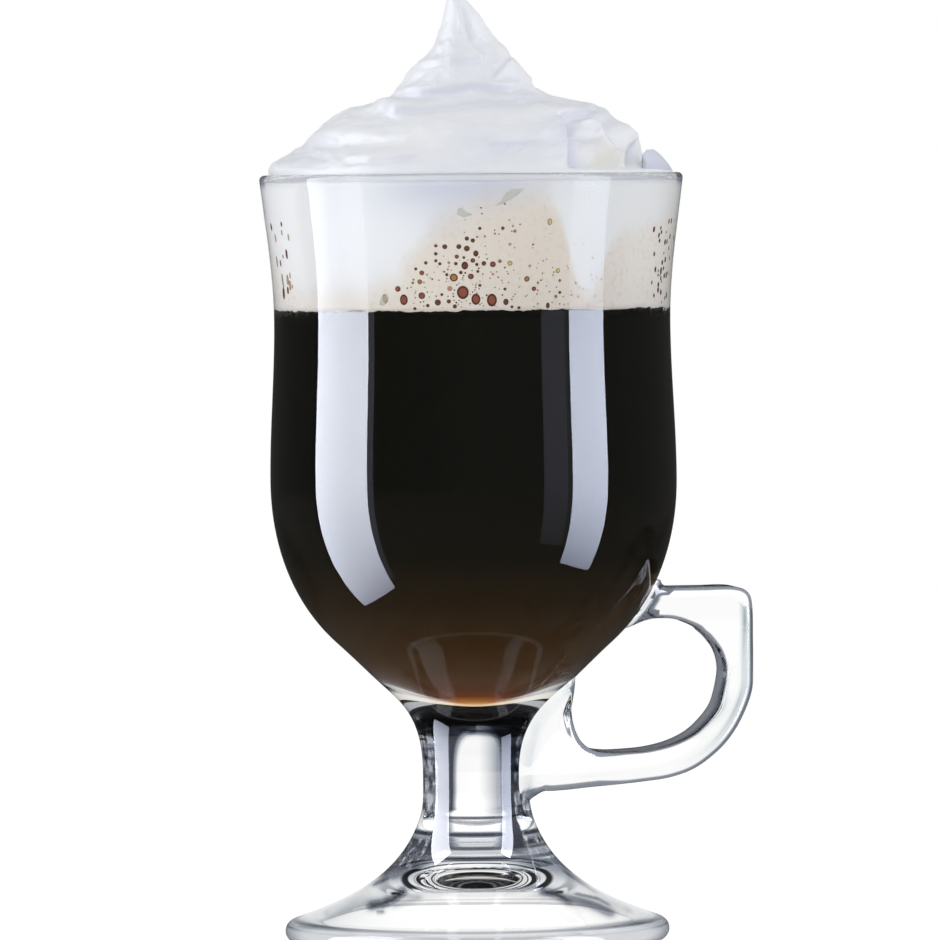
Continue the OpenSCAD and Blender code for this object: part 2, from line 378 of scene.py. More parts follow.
def plug(value, socket):
    """Gives an input its value: a field, what another socket carries, a number, a direction or a colour."""
    if isinstance(value, Field):
        value = value.socket
    if isinstance(value, bpy.types.NodeSocket):
        socket.id_data.links.new(value, socket)
    elif socket.type == "RGBA":
        socket.default_value = (*value, 1)
    else:
        socket.default_value = value


def add_node(tree, kind, inputs=(), **settings):
    node = tree.nodes.new("ShaderNode" + kind)
    for key, value in settings.items():
        setattr(node, key, value)
    for key, value in dict(inputs).items():
        plug(value, node.inputs[key])
    return node


def highest(first, *others):
    """The highest of some fields."""
    for other in others:
        first = first.maths("MAXIMUM", other)
    return first


def smooth_step(value, low, high, kind="SMOOTHSTEP"):
    """0 up to low and 1 from high, with a smooth rise between them, or an even one."""
    inputs = {"Value": value, "From Min": low, "From Max": high}
    return Field(add_node(value.tree, "MapRange", inputs, interpolation_type=kind).outputs["Result"])


def rise(length, low, high, kind="SMOOTHSTEP"):
    """The same for a length, between two values in millimetres."""
    return smooth_step(length, low * MM, high * MM, kind)


def band(length, start, end):
    """1 between a start and an end, each a pair of lengths in millimetres over which it changes."""
    return rise(length, *start) * (1 - rise(length, *end))


def object_place(tree):
    return add_node(tree, "TexCoord").outputs["Object"]


def object_height(tree):
    return Field(add_node(tree, "SeparateXYZ", {0: object_place(tree)}).outputs["Z"])


def object_radius(tree):
    """Distance from the axis."""
    flat = add_node(tree, "VectorMath", {0: object_place(tree), 1: (1, 1, 0)}, operation="MULTIPLY")
    return Field(add_node(tree, "VectorMath", {0: flat.outputs[0]}, operation="LENGTH").outputs["Value"])


def facing(tree):
    """0 where the surface faces the eye and 1 where it is seen edge on."""
    return Field(add_node(tree, "LayerWeight", {"Blend": 0.5}).outputs["Facing"])


def value_of(tree, name):
    """A value that the mesh holds at each of its points."""
    return Field(add_node(tree, "Attribute", attribute_name=name).outputs["Fac"])


def ray(tree, name):
    """What kind of ray meets the surface, or how often it has turned."""
    return Field(add_node(tree, "LightPath").outputs[name])


def texture(tree, scale, detail, stretch=(1, 1, 1)):
    """Noise in the piece's own frame, with scale in waves a metre."""
    place = add_node(tree, "Mapping", {"Vector": object_place(tree), "Scale": stretch}).outputs["Vector"]
    inputs = {"Vector": place, "Scale": scale, "Detail": detail}
    return Field(add_node(tree, "TexNoise", inputs).outputs["Fac"])


def ramp(value, stops):
    """A colour that runs through (place, colour) stops as a field grows."""
    node = add_node(value.tree, "ValToRGB", {"Fac": value})
    while len(node.color_ramp.elements) < len(stops):
        node.color_ramp.elements.new(0.5)
    for element, (place, colour) in zip(node.color_ramp.elements, stops):
        element.position = place
        element.color = (*colour, 1)
    return node.outputs["Color"]


def blend_colours(factor, first, second):
    node = add_node(factor.tree, "Mix", data_type="RGBA")
    sockets = {socket.identifier: socket for socket in (*node.inputs, *node.outputs)}
    plug(factor, sockets["Factor_Float"])
    plug(first, sockets["A_Color"])
    plug(second, sockets["B_Color"])
    return sockets["Result_Color"]


def blend_shaders(factor, first, second):
    return add_node(factor.tree, "MixShader", enumerate((factor, first, second))).outputs[0]


def glow(tree, strength, colour=(1.0, 1.0, 1.0)):
    return add_node(tree, "Emission", {"Strength": strength, "Color": colour}).outputs[0]


def show(tree, surface):
    plug(surface, tree.nodes["Material Output"].inputs["Surface"])


def principled(name, **inputs):
    """A new material, with its node tree and its main shader."""
    material = bpy.data.materials.new(name)
    material.use_nodes = True
    shader = material.node_tree.nodes["Principled BSDF"]
    for key, value in inputs.items():
        plug(value, shader.inputs[key.replace("_", " ")])
    return material, material.node_tree, shader


# Painted shade: the glass is painted dark where it turns away, for the dark room that its rims and edges show
# How dark the glass gets where it turns away from the eye, and how far round that starts, by height
PAINTED_EDGE_SHADES = [
    (0, 0.4), (3.4, 0.4), (4.8, 0.0), (11, 0.0), (12.2, 0.7), (13.5, 0.95), (19.2, 1.0), (19.8, 0.03),
    (22.6, 0.03), (23.2, 1.0), (41, 1.0), (42.5, 0.12), (46, 0.03), (60, 0.08), (137, 0.12), (138.2, 0.25),
]
EDGE_STARTS = [
    (0, 0.14), (4.8, 0.14), (11, 0.38), (12.5, 0.34), (15, 0.23), (17, 0.14), (20, 0.14), (22, 0.07),
    (42, 0.07), (46, 0.14), (139, 0.14),
]
# The same for the handle, for the upper root of it and for the glass between stem and neck at the front
HANDLE_EDGE, ROOT_EDGE, ROOT_DARK_Z = (0.8, 0.22), (0.9, 0.04), 52
JOIN_EDGE, JOIN_FROM_Z, JOIN_TO_Z = (1.0, 0.09), 17.4, 24
# How much sooner it starts on the handle's lower arm near its root, and where, from the axis out
LOWER_ARM_SOONER, LOWER_ARM_Z, LOWER_ARM_FROM, LOWER_ARM_TO = 0.11, 50, 27, 22
# How much painted shade the lip gets at the two sides, and how far from the front and the back they start
LIP_CORNER_TURN, LIP_CORNER_SHARE = 76, 0.75
# The outside of the glass lies within the first of these distances, and the handle stands out past the second
ON_SKIN, OFF_SKIN = 0.5, 0.6
# The flat ring under the foot, the foot's rounded rim, and its flank, where the painted white glow starts and
# ends
RING_Z, RIM_FROM_Z, RIM_TO_Z, RIM_WIDE, HOLLOW_MARGIN = 0.3, 0.05, 4.6, 3.5, 1.5
FLANK_START, FLANK_END, FOOT_TOP_Z = (3.6, 4.8), (12.5, 9.5), 16
# The stem mirrors the lamps within this many degrees from the front, and has no painted light flecks there
STRIP_TURN = 46
FLECKS_FROM_Z, STEM_FROM_Z, STEM_TO_Z = 14, 20, 41
# How dark the painted soft shade gets on the front of the stem, from one turn to another, and how much sooner
# the painted edge shade starts to its left
STEM_SHADE, SHADE_FROM, SHADE_TO, LEFT_SOONER = 0.5, 3, 23, 0.015
# How much less painted shade the right side of the neck gets, between two heights and from one turn to
# another
RIGHT_PALER, NECK_FROM_Z, NECK_TO_Z, PALER_FROM, PALER_FULL, PALER_END = 0.45, 11, 18, 30, 50, 110
# Painted dark streaks on the foot, for dark surroundings that the glass bends into view, placed where the
# photograph shows them: points as column and row, half-width there, darkness
PAINTED_STREAKS_SEEN = [
    ([(404, 892), (396, 899), (384, 904), (373, 906)], 4.6, 1.0),
    ([(380, 912), (384, 912)], 2.5, 0.6),
    ([(396, 906), (420, 899)], 3.5, 0.35),
    ([(404, 874), (390, 878), (376, 884)], 2.2, 0.9),
    ([(545, 893), (558, 896), (571, 903)], 4.0, 1.0),
    ([(571, 901), (592, 906), (612, 915)], 5.0, 0.75),
    ([(578, 896), (600, 901), (611, 907)], 1.8, 0.75),
    ([(564, 872), (580, 882), (598, 893)], 2.0, 0.8),
    ([(300, 927), (330, 930), (400, 934)], 1.8, 0.7),
    ([(395, 936.5), (425, 938), (445, 940)], 1.8, 0.95),
    ([(560, 933), (600, 929), (632, 925), (665, 921)], 2.0, 0.65),
]
PAINTED_STREAK_FALL = 0.8
# The values that the glass holds at its points, in the order in which glass_values gives them: painted shade
# edge on, where it starts, light flecks in it, painted white glow of the foot's flank and rim, painted
# streaks
GLASS_VALUES = ("painted_edge_shade", "edge_start", "painted_fleck_share", "painted_flank_glow", "painted_rim_glow", "painted_streak_shade")


def photo_pixel(place):
    """Column and row at which the photograph's camera sees a place given in millimetres."""
    a = math.radians(AZIMUTH)
    nearer = 1 - (place[0] * math.sin(a) - place[1] * math.cos(a)) * MM / DISTANCE
    row = EYE_ROW + (BASE_ROW - EYE_ROW - place[2] * MM / PIXEL) / nearer
    return axis_column(row) + (place[0] * math.cos(a) + place[1] * math.sin(a)) * MM / PIXEL / nearer, row


def painted_streak_amount(place):
    """How dark the painted streaks of the foot are at a place."""
    column, row = photo_pixel(place)
    amount = 0.0
    for line, wide, darkness in PAINTED_STREAKS_SEEN:
        for (ax, ay), (bx, by) in zip(line, line[1:]):
            span = (bx - ax) ** 2 + (by - ay) ** 2
            t = share_between((column - ax) * (bx - ax) + (row - ay) * (by - ay), 0, span)
            off = math.hypot(column - ax - t * (bx - ax), row - ay - t * (by - ay)) / wide
            amount = max(amount, darkness * math.exp(-off * off * PAINTED_STREAK_FALL))
    return amount


def handle_values(x, z, off):
    """The values of the glass on the handle, off the bowl and the stem."""
    share, start = HANDLE_EDGE
    if z < LOWER_ARM_Z:
        start -= LOWER_ARM_SOONER * share_between(x, LOWER_ARM_FROM, LOWER_ARM_TO)
    if off < ROOT_FILLET and z > ROOT_DARK_Z:
        share, start = ROOT_EDGE
    return share, start, 0.0, 0.0, 0.0, 0.0


def glass_values(place):
    """The values of the glass at a place in millimetres."""
    x, y, z = place
    off, radius = off_glass(x, y, z), math.hypot(x, y)
    if off > OFF_SKIN and z > HANDLE_BASE_Z - 2:
        return handle_values(x, z, off)
    turn = turn_between(math.degrees(math.atan2(y, x)), FRONT)
    share, start = along(PAINTED_EDGE_SHADES, z), along(EDGE_STARTS, z)
    flank, painted_streak_shade = 0.0, 0.0
    if z < HOLLOW_H and radius < FOOT_R - HOLLOW_MARGIN and off < -ON_SKIN or z < RING_Z:
        share = 0.0
    if abs(off) < ON_SKIN and z < FOOT_TOP_Z:
        flank = share_between(z, *FLANK_START) * share_between(z, *FLANK_END)
        painted_streak_shade = painted_streak_amount(place) if abs(turn) < 90 else 0.0
    if z > LIP_Z - 1 and LIP_CORNER_TURN < abs(turn) < 180 - LIP_CORNER_TURN:
        share = LIP_CORNER_SHARE
    in_strip = abs(turn) < STRIP_TURN and off < OFF_SKIN
    # Painted soft shade on the front of the stem, kept with the painted streaks
    if in_strip and STEM_FROM_Z < z < STEM_TO_Z:
        painted_streak_shade = STEM_SHADE * share_between(turn, SHADE_FROM, SHADE_TO)
        start -= LEFT_SOONER * (turn < 0)
    if off < OFF_SKIN and NECK_FROM_Z < z < NECK_TO_Z and turn < PALER_END:
        share *= 1 - RIGHT_PALER * share_between(turn, PALER_FROM, PALER_FULL)
    if in_strip and JOIN_FROM_Z < z < JOIN_TO_Z:
        share, start = JOIN_EDGE
    flecks = off < OFF_SKIN and FLECKS_FROM_Z < z < STEM_TO_Z and abs(turn) > STRIP_TURN
    rim = RIM_FROM_Z < z < RIM_TO_Z and radius > FOOT_R - RIM_WIDE
    return share, start, float(flecks), flank, float(rim), painted_streak_shade


# Painted dark rings round the rim and the neck of the foot, painted shade where the glass bends dark
# surroundings into view: height, half-width in millimetres, darkness; then where they soften, as shares of
# that width, the height from which they show, and the radius from which they do
PAINTED_NECK_RINGS = [
    (3.1, 0.16, 0.75), (4.1, 0.22, 0.92), (15.9, 0.40, 0.95), (17.3, 1.5, 0.30), (17.6, 0.34, 0.95),
    (18.7, 0.12, 0.5), (20.0, 0.5, 1.0),
]
RING_CORE, RING_END, ON_NECK, ON_RIM = 0.4, 1.6, (12, 13), (30.5, 31.5)
# How much of the lamps shows in the glass where the pale foam lies right behind it, and low on the bowl
FOAM_SHEEN, LOW_SHEEN = 0.065, 0.13
# How many more painted light flecks the painted dark sides of the stem have, how much of the painted shade a
# fleck takes away, and over which values of the noise one fades
STEM_FLECKS, FLECK_LIGHT, FLECK_GRAIN = 0.12, 0.66, (0.30, 0.50)
# Heights over which a look starts and ends: the stem, the low part of the bowl, the foam's lower edge, and
# where the painted glow for light that has turned often is strongest
STEM_START, STEM_END, LOW_START, LOW_END = (22, 24), (38, 40), (42.5, 46), (56, 60)
FOAM_EDGE, CAUGHT_LOW, CAUGHT_HIGH = (COFFEE_Z - 0.3, COFFEE_Z + 0.3), (8, 12), (43, 46)
# How far from square on the view is where the painted streaks start, where the painted white glow of the
# foot's rim stops, and where that of its flank starts
STREAK_VIEW, RIM_VIEW, FLANK_VIEW = (0.22, 0.42), (0.5, 0.8), (0.72, 0.94)
# The glass from clear to its darkest painted shade
GLASS_PAINTED_SHADE = [(0.0, (1, 1, 1)), (0.5, (0.16, 0.18, 0.23)), (1.0, (0.004, 0.0045, 0.007))]
# The painted near black that the glass shows where another part of it mirrors it, the colour of the painted
# glow that stands in for light that has turned often, and the painted white glow of the foot
PAINTED_MIRRORED_GLASS, PAINTED_CAUGHT_GLOW, FOOT_PAINTED_GLOW = (0.006, 0.003, 0.0015), (0.92, 0.96, 1.0), (0.80, 0.82, 0.835)
# How strong that painted glow is at most and at least, after how many turns, and how strongly the rim glows
CAUGHT_MOST, CAUGHT_LEAST, TURNS_CAUGHT, RIM_PAINTED_GLOW = 0.85, 0.03, 3.5, 0.6


def painted_neck_rings(height, radius):
    rings = [
        (1 - rise(abs(height - z * MM), wide * RING_CORE, wide * RING_END)) * amount
        for z, wide, amount in PAINTED_NECK_RINGS
    ]
    return highest(*rings) * highest(rise(height, *ON_NECK), rise(radius, *ON_RIM))


def glass_look():
    """Painted dark where the surface turns away, for the dark room that rims and edges of glass show."""
    material, tree, shader = principled(
        "clear_glass", Base_Color=(1, 1, 1), Roughness=0.0, IOR=GLASS_IOR, Transmission_Weight=1.0
    )
    height, away, mirrors = object_height(tree), facing(tree), ray(tree, "Glossy Depth")
    share, start, painted_fleck_share, flank, rim_glow, painted_streak_shade = (value_of(tree, name) for name in GLASS_VALUES)
    on_stem = band(height, STEM_START, STEM_END)
    grain = texture(tree, 700, 3, (1, 1, 0.5)) - on_stem * STEM_FLECKS
    flecks = painted_fleck_share * (1 - smooth_step(grain, *FLECK_GRAIN))
    dark = share * smooth_step((away - start) / start, 0.0, 1.0) * (1 - flecks * FLECK_LIGHT)
    streak = painted_streak_shade * highest(smooth_step(away, *STREAK_VIEW), on_stem)
    colour = ramp(highest(dark, streak, painted_neck_rings(height, object_radius(tree))), GLASS_PAINTED_SHADE)
    mirrored = (mirrors > 0.5) * (ray(tree, "Transmission Depth") < 0.5)
    plug(blend_colours(mirrored, colour, PAINTED_MIRRORED_GLASS), shader.inputs["Base Color"])
    low = 1 - band(height, LOW_START, LOW_END) * (1 - LOW_SHEEN)
    high = 1 - rise(height, *FOAM_EDGE) * (1 - FOAM_SHEEN)
    plug(low * high, shader.inputs["Specular Tint"])
    # A painted glow, no lamp, for light that has turned often in the glass, strongest low on the foot and in
    # the bowl
    painted_caught_glow = highest(1 - rise(height, *CAUGHT_LOW), rise(height, *CAUGHT_HIGH)) * CAUGHT_MOST + CAUGHT_LEAST
    surface = blend_shaders(mirrors > TURNS_CAUGHT, shader.outputs[0], glow(tree, painted_caught_glow, PAINTED_CAUGHT_GLOW))
    # The foot's flank and rim painted with a white glow
    flat = smooth_step(away, *FLANK_VIEW) * flank
    square = (1 - smooth_step(away, *RIM_VIEW)) * rim_glow * RIM_PAINTED_GLOW
    show(tree, blend_shaders(highest(flat, square), surface, glow(tree, 1.0, FOOT_PAINTED_GLOW)))
    return material


glass = make_glass()
write_values(glass, GLASS_VALUES, glass_values)
glass.data.materials.clear()
glass.data.materials.append(glass_look())
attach(glass, BODY)
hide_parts("bowl", "stem", "foot", "handle")


# The coffee's colour from near the bottom up, with painted light, brown and orange, where it thins near the
# bottom; then the painted rings of light that mirrors of it show, from the axis out
COFFEE_TONES_AND_PAINTED_LIGHT = [
    (0.045, (0.95, 0.60, 0.22)),
    (0.058, (0.60, 0.22, 0.04)),
    (0.080, (0.20, 0.06, 0.02)),
    (0.11, (0.112, 0.048, 0.022)),
    (0.18, (0.074, 0.038, 0.016)),
    (0.28, (0.052, 0.027, 0.010)),
    (0.45, (0.022, 0.012, 0.003)),
    (0.65, (0.0065, 0.0052, 0.0018)),
    (1.0, (0.0045, 0.0042, 0.0025)),
]
BELOW_DARK = (0.02, 0.021, 0.022)
PAINTED_MIRRORED_TONES = [
    (0.28, BELOW_DARK),
    (0.34, (0.30, 0.32, 0.33)),
    (0.40, BELOW_DARK),
    (0.50, BELOW_DARK),
    (0.54, (0.22, 0.24, 0.25)),
    (0.58, BELOW_DARK),
]
# Heights at which the colours start and end, and the radius at which the mirrored ones do
COFFEE_TONES_Z, BELOW_R = (45, 85), 20
# The painted bright line under the coffee, a glow for the lit table that it mirrors: how flat the view is
# where it starts and is full, where it ends, its strength, and its colours from one height to another
SHEEN_VIEW, SHEEN_END, PAINTED_SHEEN_STRENGTH, SHEEN_TONES_Z = (0.57, 0.68), (56, 62), 0.95, (46.6, 48.8)
PAINTED_SHEEN_TONES = [(0.0, (0.90, 0.62, 0.34)), (1.0, (1.0, 0.96, 0.90))]
# Where the coffee starts to mirror
WET_START = (46.5, 51)
# Waves of the line between coffee and foam: height and how many in a millimetre, then bumps that rise
# where a wave of their own passes a level, and how far from the axis the line lies at least
EDGE_WAVES, EDGE_BUMP, BUMP_WAVES, BUMP_LEVEL, MIDDLE_R = [(0.30, 0.35), (0.22, 1.4)], 0.25, 0.8, 0.2, 20


def wave_edge(piece):
    """Lets the line between coffee and foam rise and dip a little along the glass."""
    for v in piece.data.vertices:
        if abs(v.co.z - COFFEE_Z * MM) < 1e-6 and math.hypot(v.co.x, v.co.y) > MIDDLE_R * MM:
            wave = sum(size * noise.noise(v.co / MM * waves) for size, waves in EDGE_WAVES)
            wave += EDGE_BUMP * max(0.0, noise.noise(v.co / MM * BUMP_WAVES) - BUMP_LEVEL)
            v.co.z += wave * MM


def make_coffee():
    wall = [(r + WETTING, z - WETTING) for r, z in bowl_inside if 0 < r and z < COFFEE_Z - 1]
    top = [(inside(COFFEE_Z) + WETTING, COFFEE_Z), (0, COFFEE_Z)]
    piece = revolve("coffee_fill", [(0, FLOOR_Z - WETTING)] + wall + top, DRINK_SIDES)
    wave_edge(piece)
    return piece


def behind_glass(tree, surface):
    """A surface with what a liquid mirrors behind glass: everything at a flat angle, and near the bottom a
    painted warm white glow, which stands in for the lit table that the liquid mirrors there."""
    height = object_height(tree)
    fresnel = Field(add_node(tree, "Fresnel", {"IOR": LIQUID_IOR / GLASS_IOR}).outputs[0])
    mirror = add_node(tree, "BsdfGlossy", {"Roughness": 0.0}).outputs[0]
    wet = blend_shaders(fresnel * rise(height, *WET_START), surface, mirror)
    sheen = glow(tree, PAINTED_SHEEN_STRENGTH, ramp(rise(height, *SHEEN_TONES_Z, "LINEAR"), PAINTED_SHEEN_TONES))
    flat = smooth_step(facing(tree), *SHEEN_VIEW)
    return blend_shaders(flat * (1 - rise(height, *SHEEN_END)), wet, sheen)


def coffee_look():
    """Near black, with painted light: brown where the bowl narrows, orange near the bottom where light gets
    through.
    """
    material, tree, shader = principled("coffee", Roughness=0.35, Specular_IOR_Level=0.0)
    body = ramp(rise(object_height(tree), *COFFEE_TONES_Z, "LINEAR"), COFFEE_TONES_AND_PAINTED_LIGHT)
    below = ramp(object_radius(tree) * (1 / (BELOW_R * MM)), PAINTED_MIRRORED_TONES)
    plug(blend_colours(ray(tree, "Glossy Depth") > 0.5, body, below), shader.inputs["Base Color"])
    show(tree, behind_glass(tree, shader.outputs[0]))
    return material


coffee = make_coffee()
coffee.data.materials.append(coffee_look())
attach(coffee, BODY)
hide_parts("coffee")


# Whipped cream: height, and how far it reaches to the left and to the right of the axis there
CREAM_OUTLINE = np.array([
    (139.9, 36.8, 36.6), (140.8, 37.0, 34.4), (141.8, 36.2, 31.8), (142.9, 34.4, 31.0), (144.0, 31.2, 30.8),
    (144.9, 30.2, 30.5), (146.5, 29.3, 30.3), (147.6, 27.8, 29.4), (149.1, 25.7, 27.2), (150.1, 24.3, 26.2),
    (150.9, 23.1, 25.2), (151.8, 21.2, 22.4), (152.5, 17.4, 18.8), (153.6, 14.3, 14.7), (154.3, 13.5, 13.4),
    (155.2, 12.9, 12.2), (156.3, 12.1, 10.6), (158.2, 11.0, 9.6), (159.6, 9.8, 8.8), (160.9, 7.9, 7.9),
    (162.5, 6.7, 6.9), (165.4, 5.5, 3.7), (168.4, 4.7, 1.7), (169.8, 4.4, 0.4), (171.3, 4.1, -0.9),
    (172.3, 3.4, -1.9), (172.8, 2.6, -2.6),
])
# Folds that show from the front: points (how far to the right, height), then how far the cream stands out on
# the left hand of the line, and how far that reaches on the left and on the right hand of it; where the
# first number is below zero, it stands out on the right hand
FRONT_FOLDS = [
    ([(11.2, 156.4), (7.6, 154.9), (4, 155.1), (0, 155.5), (-5.6, 154.7), (-9, 154.2),
      (-15, 153.4)], -1.0, 1.4, 1.7),
    ([(15, 153.5), (8, 152.6), (0, 152.0), (-6, 151.3), (-10.6, 150.6), (-13.6, 149.8),
      (-15.6, 151.0), (-18, 152.2)], -0.9, 1.2, 1.4),
    ([(15.4, 150.0), (16.8, 147.6), (17.4, 144.4), (17.2, 140.0)], -1.9, 2.6, 2.2),
    ([(28.6, 140.4), (26.6, 143.4), (25.4, 146.0), (23.6, 148.4), (21.8, 149.4),
      (18.0, 149.5)], 1.3, 1.2, 1.9),
    ([(23.0, 151.4), (19.0, 150.6), (16.4, 150.1), (15.0, 149.2)], -0.8, 1.1, 1.0),
    ([(30.4, 146.0), (28.4, 144.0), (27.4, 141.6), (27.2, 140.0)], -0.9, 1.3, 1.2),
    ([(13.0, 144.9), (7.0, 144.7), (2.0, 144.4)], -0.42, 1.0, 1.4),
    ([(-8.0, 142.6), (-13.0, 142.0), (-18.0, 141.6), (-22.0, 142.0), (-24.0, 143.0)], -0.6, 1.2, 1.0),
    ([(-24.0, 141.6), (-25.6, 142.8), (-29.0, 143.6), (-32.0, 143.4), (-36.0, 142.6)], -0.7, 1.2, 1.1),
    ([(-22.0, 144.8), (-23.6, 145.6), (-26.0, 146.2), (-28.6, 146.4)], -0.5, 1.1, 1.0),
    ([(-10.4, 158.8), (-6.0, 159.6), (0.0, 160.2), (4.0, 160.9)], 0.45, 1.3, 1.2),
    ([(-2.0, 171.0), (-1.2, 166.4), (-0.6, 164.2), (1.6, 161.8), (3.2, 160.0)], -0.6, 1.1, 1.6),
    ([(8.4, 161.6), (5.6, 158.6), (3.8, 156.6)], 0.4, 1.0, 1.3),
    ([(-5.2, 164.4), (-5.0, 162.0), (-6.6, 160.2)], -0.35, 0.9, 1.1),
]
# Folds further round: points (turn in degrees, height), and the same three values
BACK_FOLDS = [
    ([(75, 155.2), (110, 157.2), (150, 158.8), (200, 160.6), (240, 162.5)], 0.9, 1.5, 1.4),
    ([(95, 150.2), (130, 152.0), (170, 153.4), (215, 153.6), (255, 152.4)], 1.2, 1.4, 1.3),
    ([(100, 144.2), (130, 146.6), (160, 147.2), (190, 145.4), (215, 143.4)], 1.1, 1.6, 1.1),
    ([(225, 146.8), (250, 148.6), (275, 148.0)], 0.9, 1.4, 1.0),
]
# Lobes: turn, height, half-width in degrees, half-height, how far it stands out
LOBES = [
    (-52, 147.2, 22, 3.4, 0.9),
    (-43, 151.5, 9, 1.2, 1.3),
    (-34, 150.9, 5, 1.3, 0.9),
    (-4, 146.5, 24, 4.4, 0.9),
    (3, 154.0, 5, 1.2, 0.7),
    (29, 143.6, 8, 2.6, 0.7),
    (47, 144.4, 9, 3.4, -3.0),
    (56, 150.4, 10, 1.3, 0.8),
    (73, 146.8, 8, 2.2, 0.9),
    (63, 143.4, 7, 2.4, 0.6),
    (64, 155.0, 8, 0.9, -0.8),
    (-30, 165.0, 16, 2.6, 0.3),
    (34, 163.6, 22, 2.4, -0.5),
    (140, 149.8, 18, 3.0, 1.4),
    (170, 144.0, 16, 3.0, -1.8),
    (205, 149.0, 20, 3.2, 1.5),
    (232, 144.2, 12, 2.6, 1.3),
    (185, 163.0, 22, 3.0, 0.6),
]
# A hollow in the cream with painted warm light, which the foam below casts into it: how far to the right,
# height, half-sizes
PAINTED_WARM_HOLLOW = (24.6, 142.8, 3.6, 3.4)
# Painted cool soft shade on the cream: how far to the right, height, half-sizes, strength
CREAM_SHADES = [
    (7.0, 144.0, 9.0, 4.0, 0.42),
    (16.9, 145.5, 3.0, 3.0, 1.1),
    (4.5, 157.0, 3.5, 3.0, 0.4),
    (-2.6, 161.0, 2.0, 3.0, 0.35),
]
# Lumps of the cream: how far they stand out, how many waves in a millimetre, and a shift of the pattern
CREAM_LUMPS = [(0.6, 0.13, (3.1, 7.7, 1.9)), (0.30, 0.42, (0, 0, 0)), (0.10, 1.3, (0, 0, 0))]
# How a fold fades: at its ends as a share of its length, round the back in degrees, and at the sides of the
# mug from one cosine over another; then its low side as a share of its high one, the widths of its crease
# and of its shade, the reach of that shade as a share, and the shade of a hollow as a share of its depth
FOLD_END_SHARE, BACK_END, SIDE_COSINE, SIDE_FADE = 0.16, 14, -0.02, 0.12
LOW_SIDE_SHARE, CREASE_WIDE, SHADE_WIDE, SHADE_REACH_SHARE, HOLLOW_SHADE_SHARE = 0.85, 0.25, 0.3, 0.6, 0.35
# The hidden underside of the crown, as radii and heights, and the room it leaves along the glass
CREAM_ROOM = 0.1
CREAM_FLOOR = [(30.0, 136.0)] + [(inside(z) - CREAM_ROOM, z) for z in (137.6, 138.6)] + [(36.7, 139.5)]
# Folds and lumps fade in above this height, over so many millimetres, and out where the peak gets thinner
FOLDS_FROM_Z, FOLDS_OVER, PEAK_R, PEAK_LEAST_R = 139.8, 1.4, 4, 0.03
CREAM_SIDES, CREAM_ROWS, CREAM_SMOOTHINGS = 320, 190, 5


def line_offset(points, u, v):
    """Signed distance of places from a line of points, positive on its left, and 0 to 1 near its ends."""
    best, side, share = np.full(u.shape, 1e9), np.zeros(u.shape), np.zeros(u.shape)
    points = np.array(points, float)
    lengths = np.linalg.norm(np.diff(points, axis=0), axis=1)
    total, before = lengths.sum(), 0.0
    for (ax, ay), (bx, by), length in zip(points, points[1:], lengths):
        dx, dy = (bx - ax) / length, (by - ay) / length
        t = np.clip((u - ax) * dx + (v - ay) * dy, 0, length)
        d = np.hypot(u - ax - t * dx, v - ay - t * dy)
        nearer = d < best
        best = np.where(nearer, d, best)
        side = np.where(nearer, np.sign(dx * (v - ay) - dy * (u - ax)), side)
        share = np.where(nearer, (before + t) / total, share)
        before += length
    return best * side, np.clip(np.minimum(share, 1 - share) / FOLD_END_SHARE, 0.0, 1.0)


def fold_step(d, ends, amount, left_reach, right_reach):
    """How far a fold stands out and how much it shades, at a signed distance from its line."""
    far, shade_reach = np.abs(d), SHADE_REACH_SHARE * right_reach
    step = np.where(d > 0, np.exp(-far / left_reach), -LOW_SIDE_SHARE * np.exp(-far / right_reach))
    step = step * (1 - np.exp(-((d / CREASE_WIDE) ** 2)))
    shade = np.where(d > 0, np.exp(-((d / SHADE_WIDE) ** 2)), np.exp(-far / shade_reach))
    return amount * ends * step, amount * ends * shade


def cream_relief(turn, across, height):
    """How far the cream stands out, and how much painted shade its folds and hollows get, at each place of
    the grid.
    """
    out, shade = np.zeros(turn.shape), np.zeros(turn.shape)
    front = np.clip((np.cos(np.radians(turn)) - SIDE_COSINE) / SIDE_FADE, 0, 1)
    for line, amount, left_reach, right_reach in FRONT_FOLDS:
        d, ends = line_offset(line, across, height)
        step, dip = fold_step(d * np.sign(amount), ends, abs(amount), left_reach, right_reach)
        out += step * front
        shade += dip * front
    for line, amount, above, below in BACK_FOLDS:
        first, last = line[0][0], line[-1][0]
        at = (turn - first) % 360 + first
        ends = np.clip(np.minimum(at - first, last - at) / BACK_END, 0, 1)
        step, dip = fold_step(height - along(line, at), ends, amount, above, below)
        out += step
        shade += dip
    for at, z, wide, tall, amount in LOBES:
        bump = amount * np.exp(-((turn_between(turn, at) / wide) ** 2) - ((height - z) / tall) ** 2)
        out += bump
        shade += np.maximum(0, -HOLLOW_SHADE_SHARE * bump)
    for x, z, wide, tall, amount in CREAM_SHADES:
        spot = np.exp(-(((across - x) / wide) ** 2) - ((height - z) / tall) ** 2)
        shade += np.where(np.abs(turn) < 90, amount, 0) * spot
    return out, shade


def cream_rows():
    """Heights of the crown's rows, with the mean radius there and how far the middle lies to the right."""
    spans = np.hypot(np.diff(CREAM_OUTLINE[:, 0]), np.diff(CREAM_OUTLINE[:, 1:].sum(1) / 2))
    span = np.concatenate([[0], np.cumsum(spans)])
    rows = np.linspace(0, span[-1], CREAM_ROWS)
    z, left, right = (np.interp(rows, span, CREAM_OUTLINE[:, k]) for k in range(3))
    for _ in range(CREAM_SMOOTHINGS):
        for line in (z, left, right):
            line[1:-1] = (line[:-2] + 2 * line[1:-1] + line[2:]) / 4
    return z, (left + right) / 2, (right - left) / 2


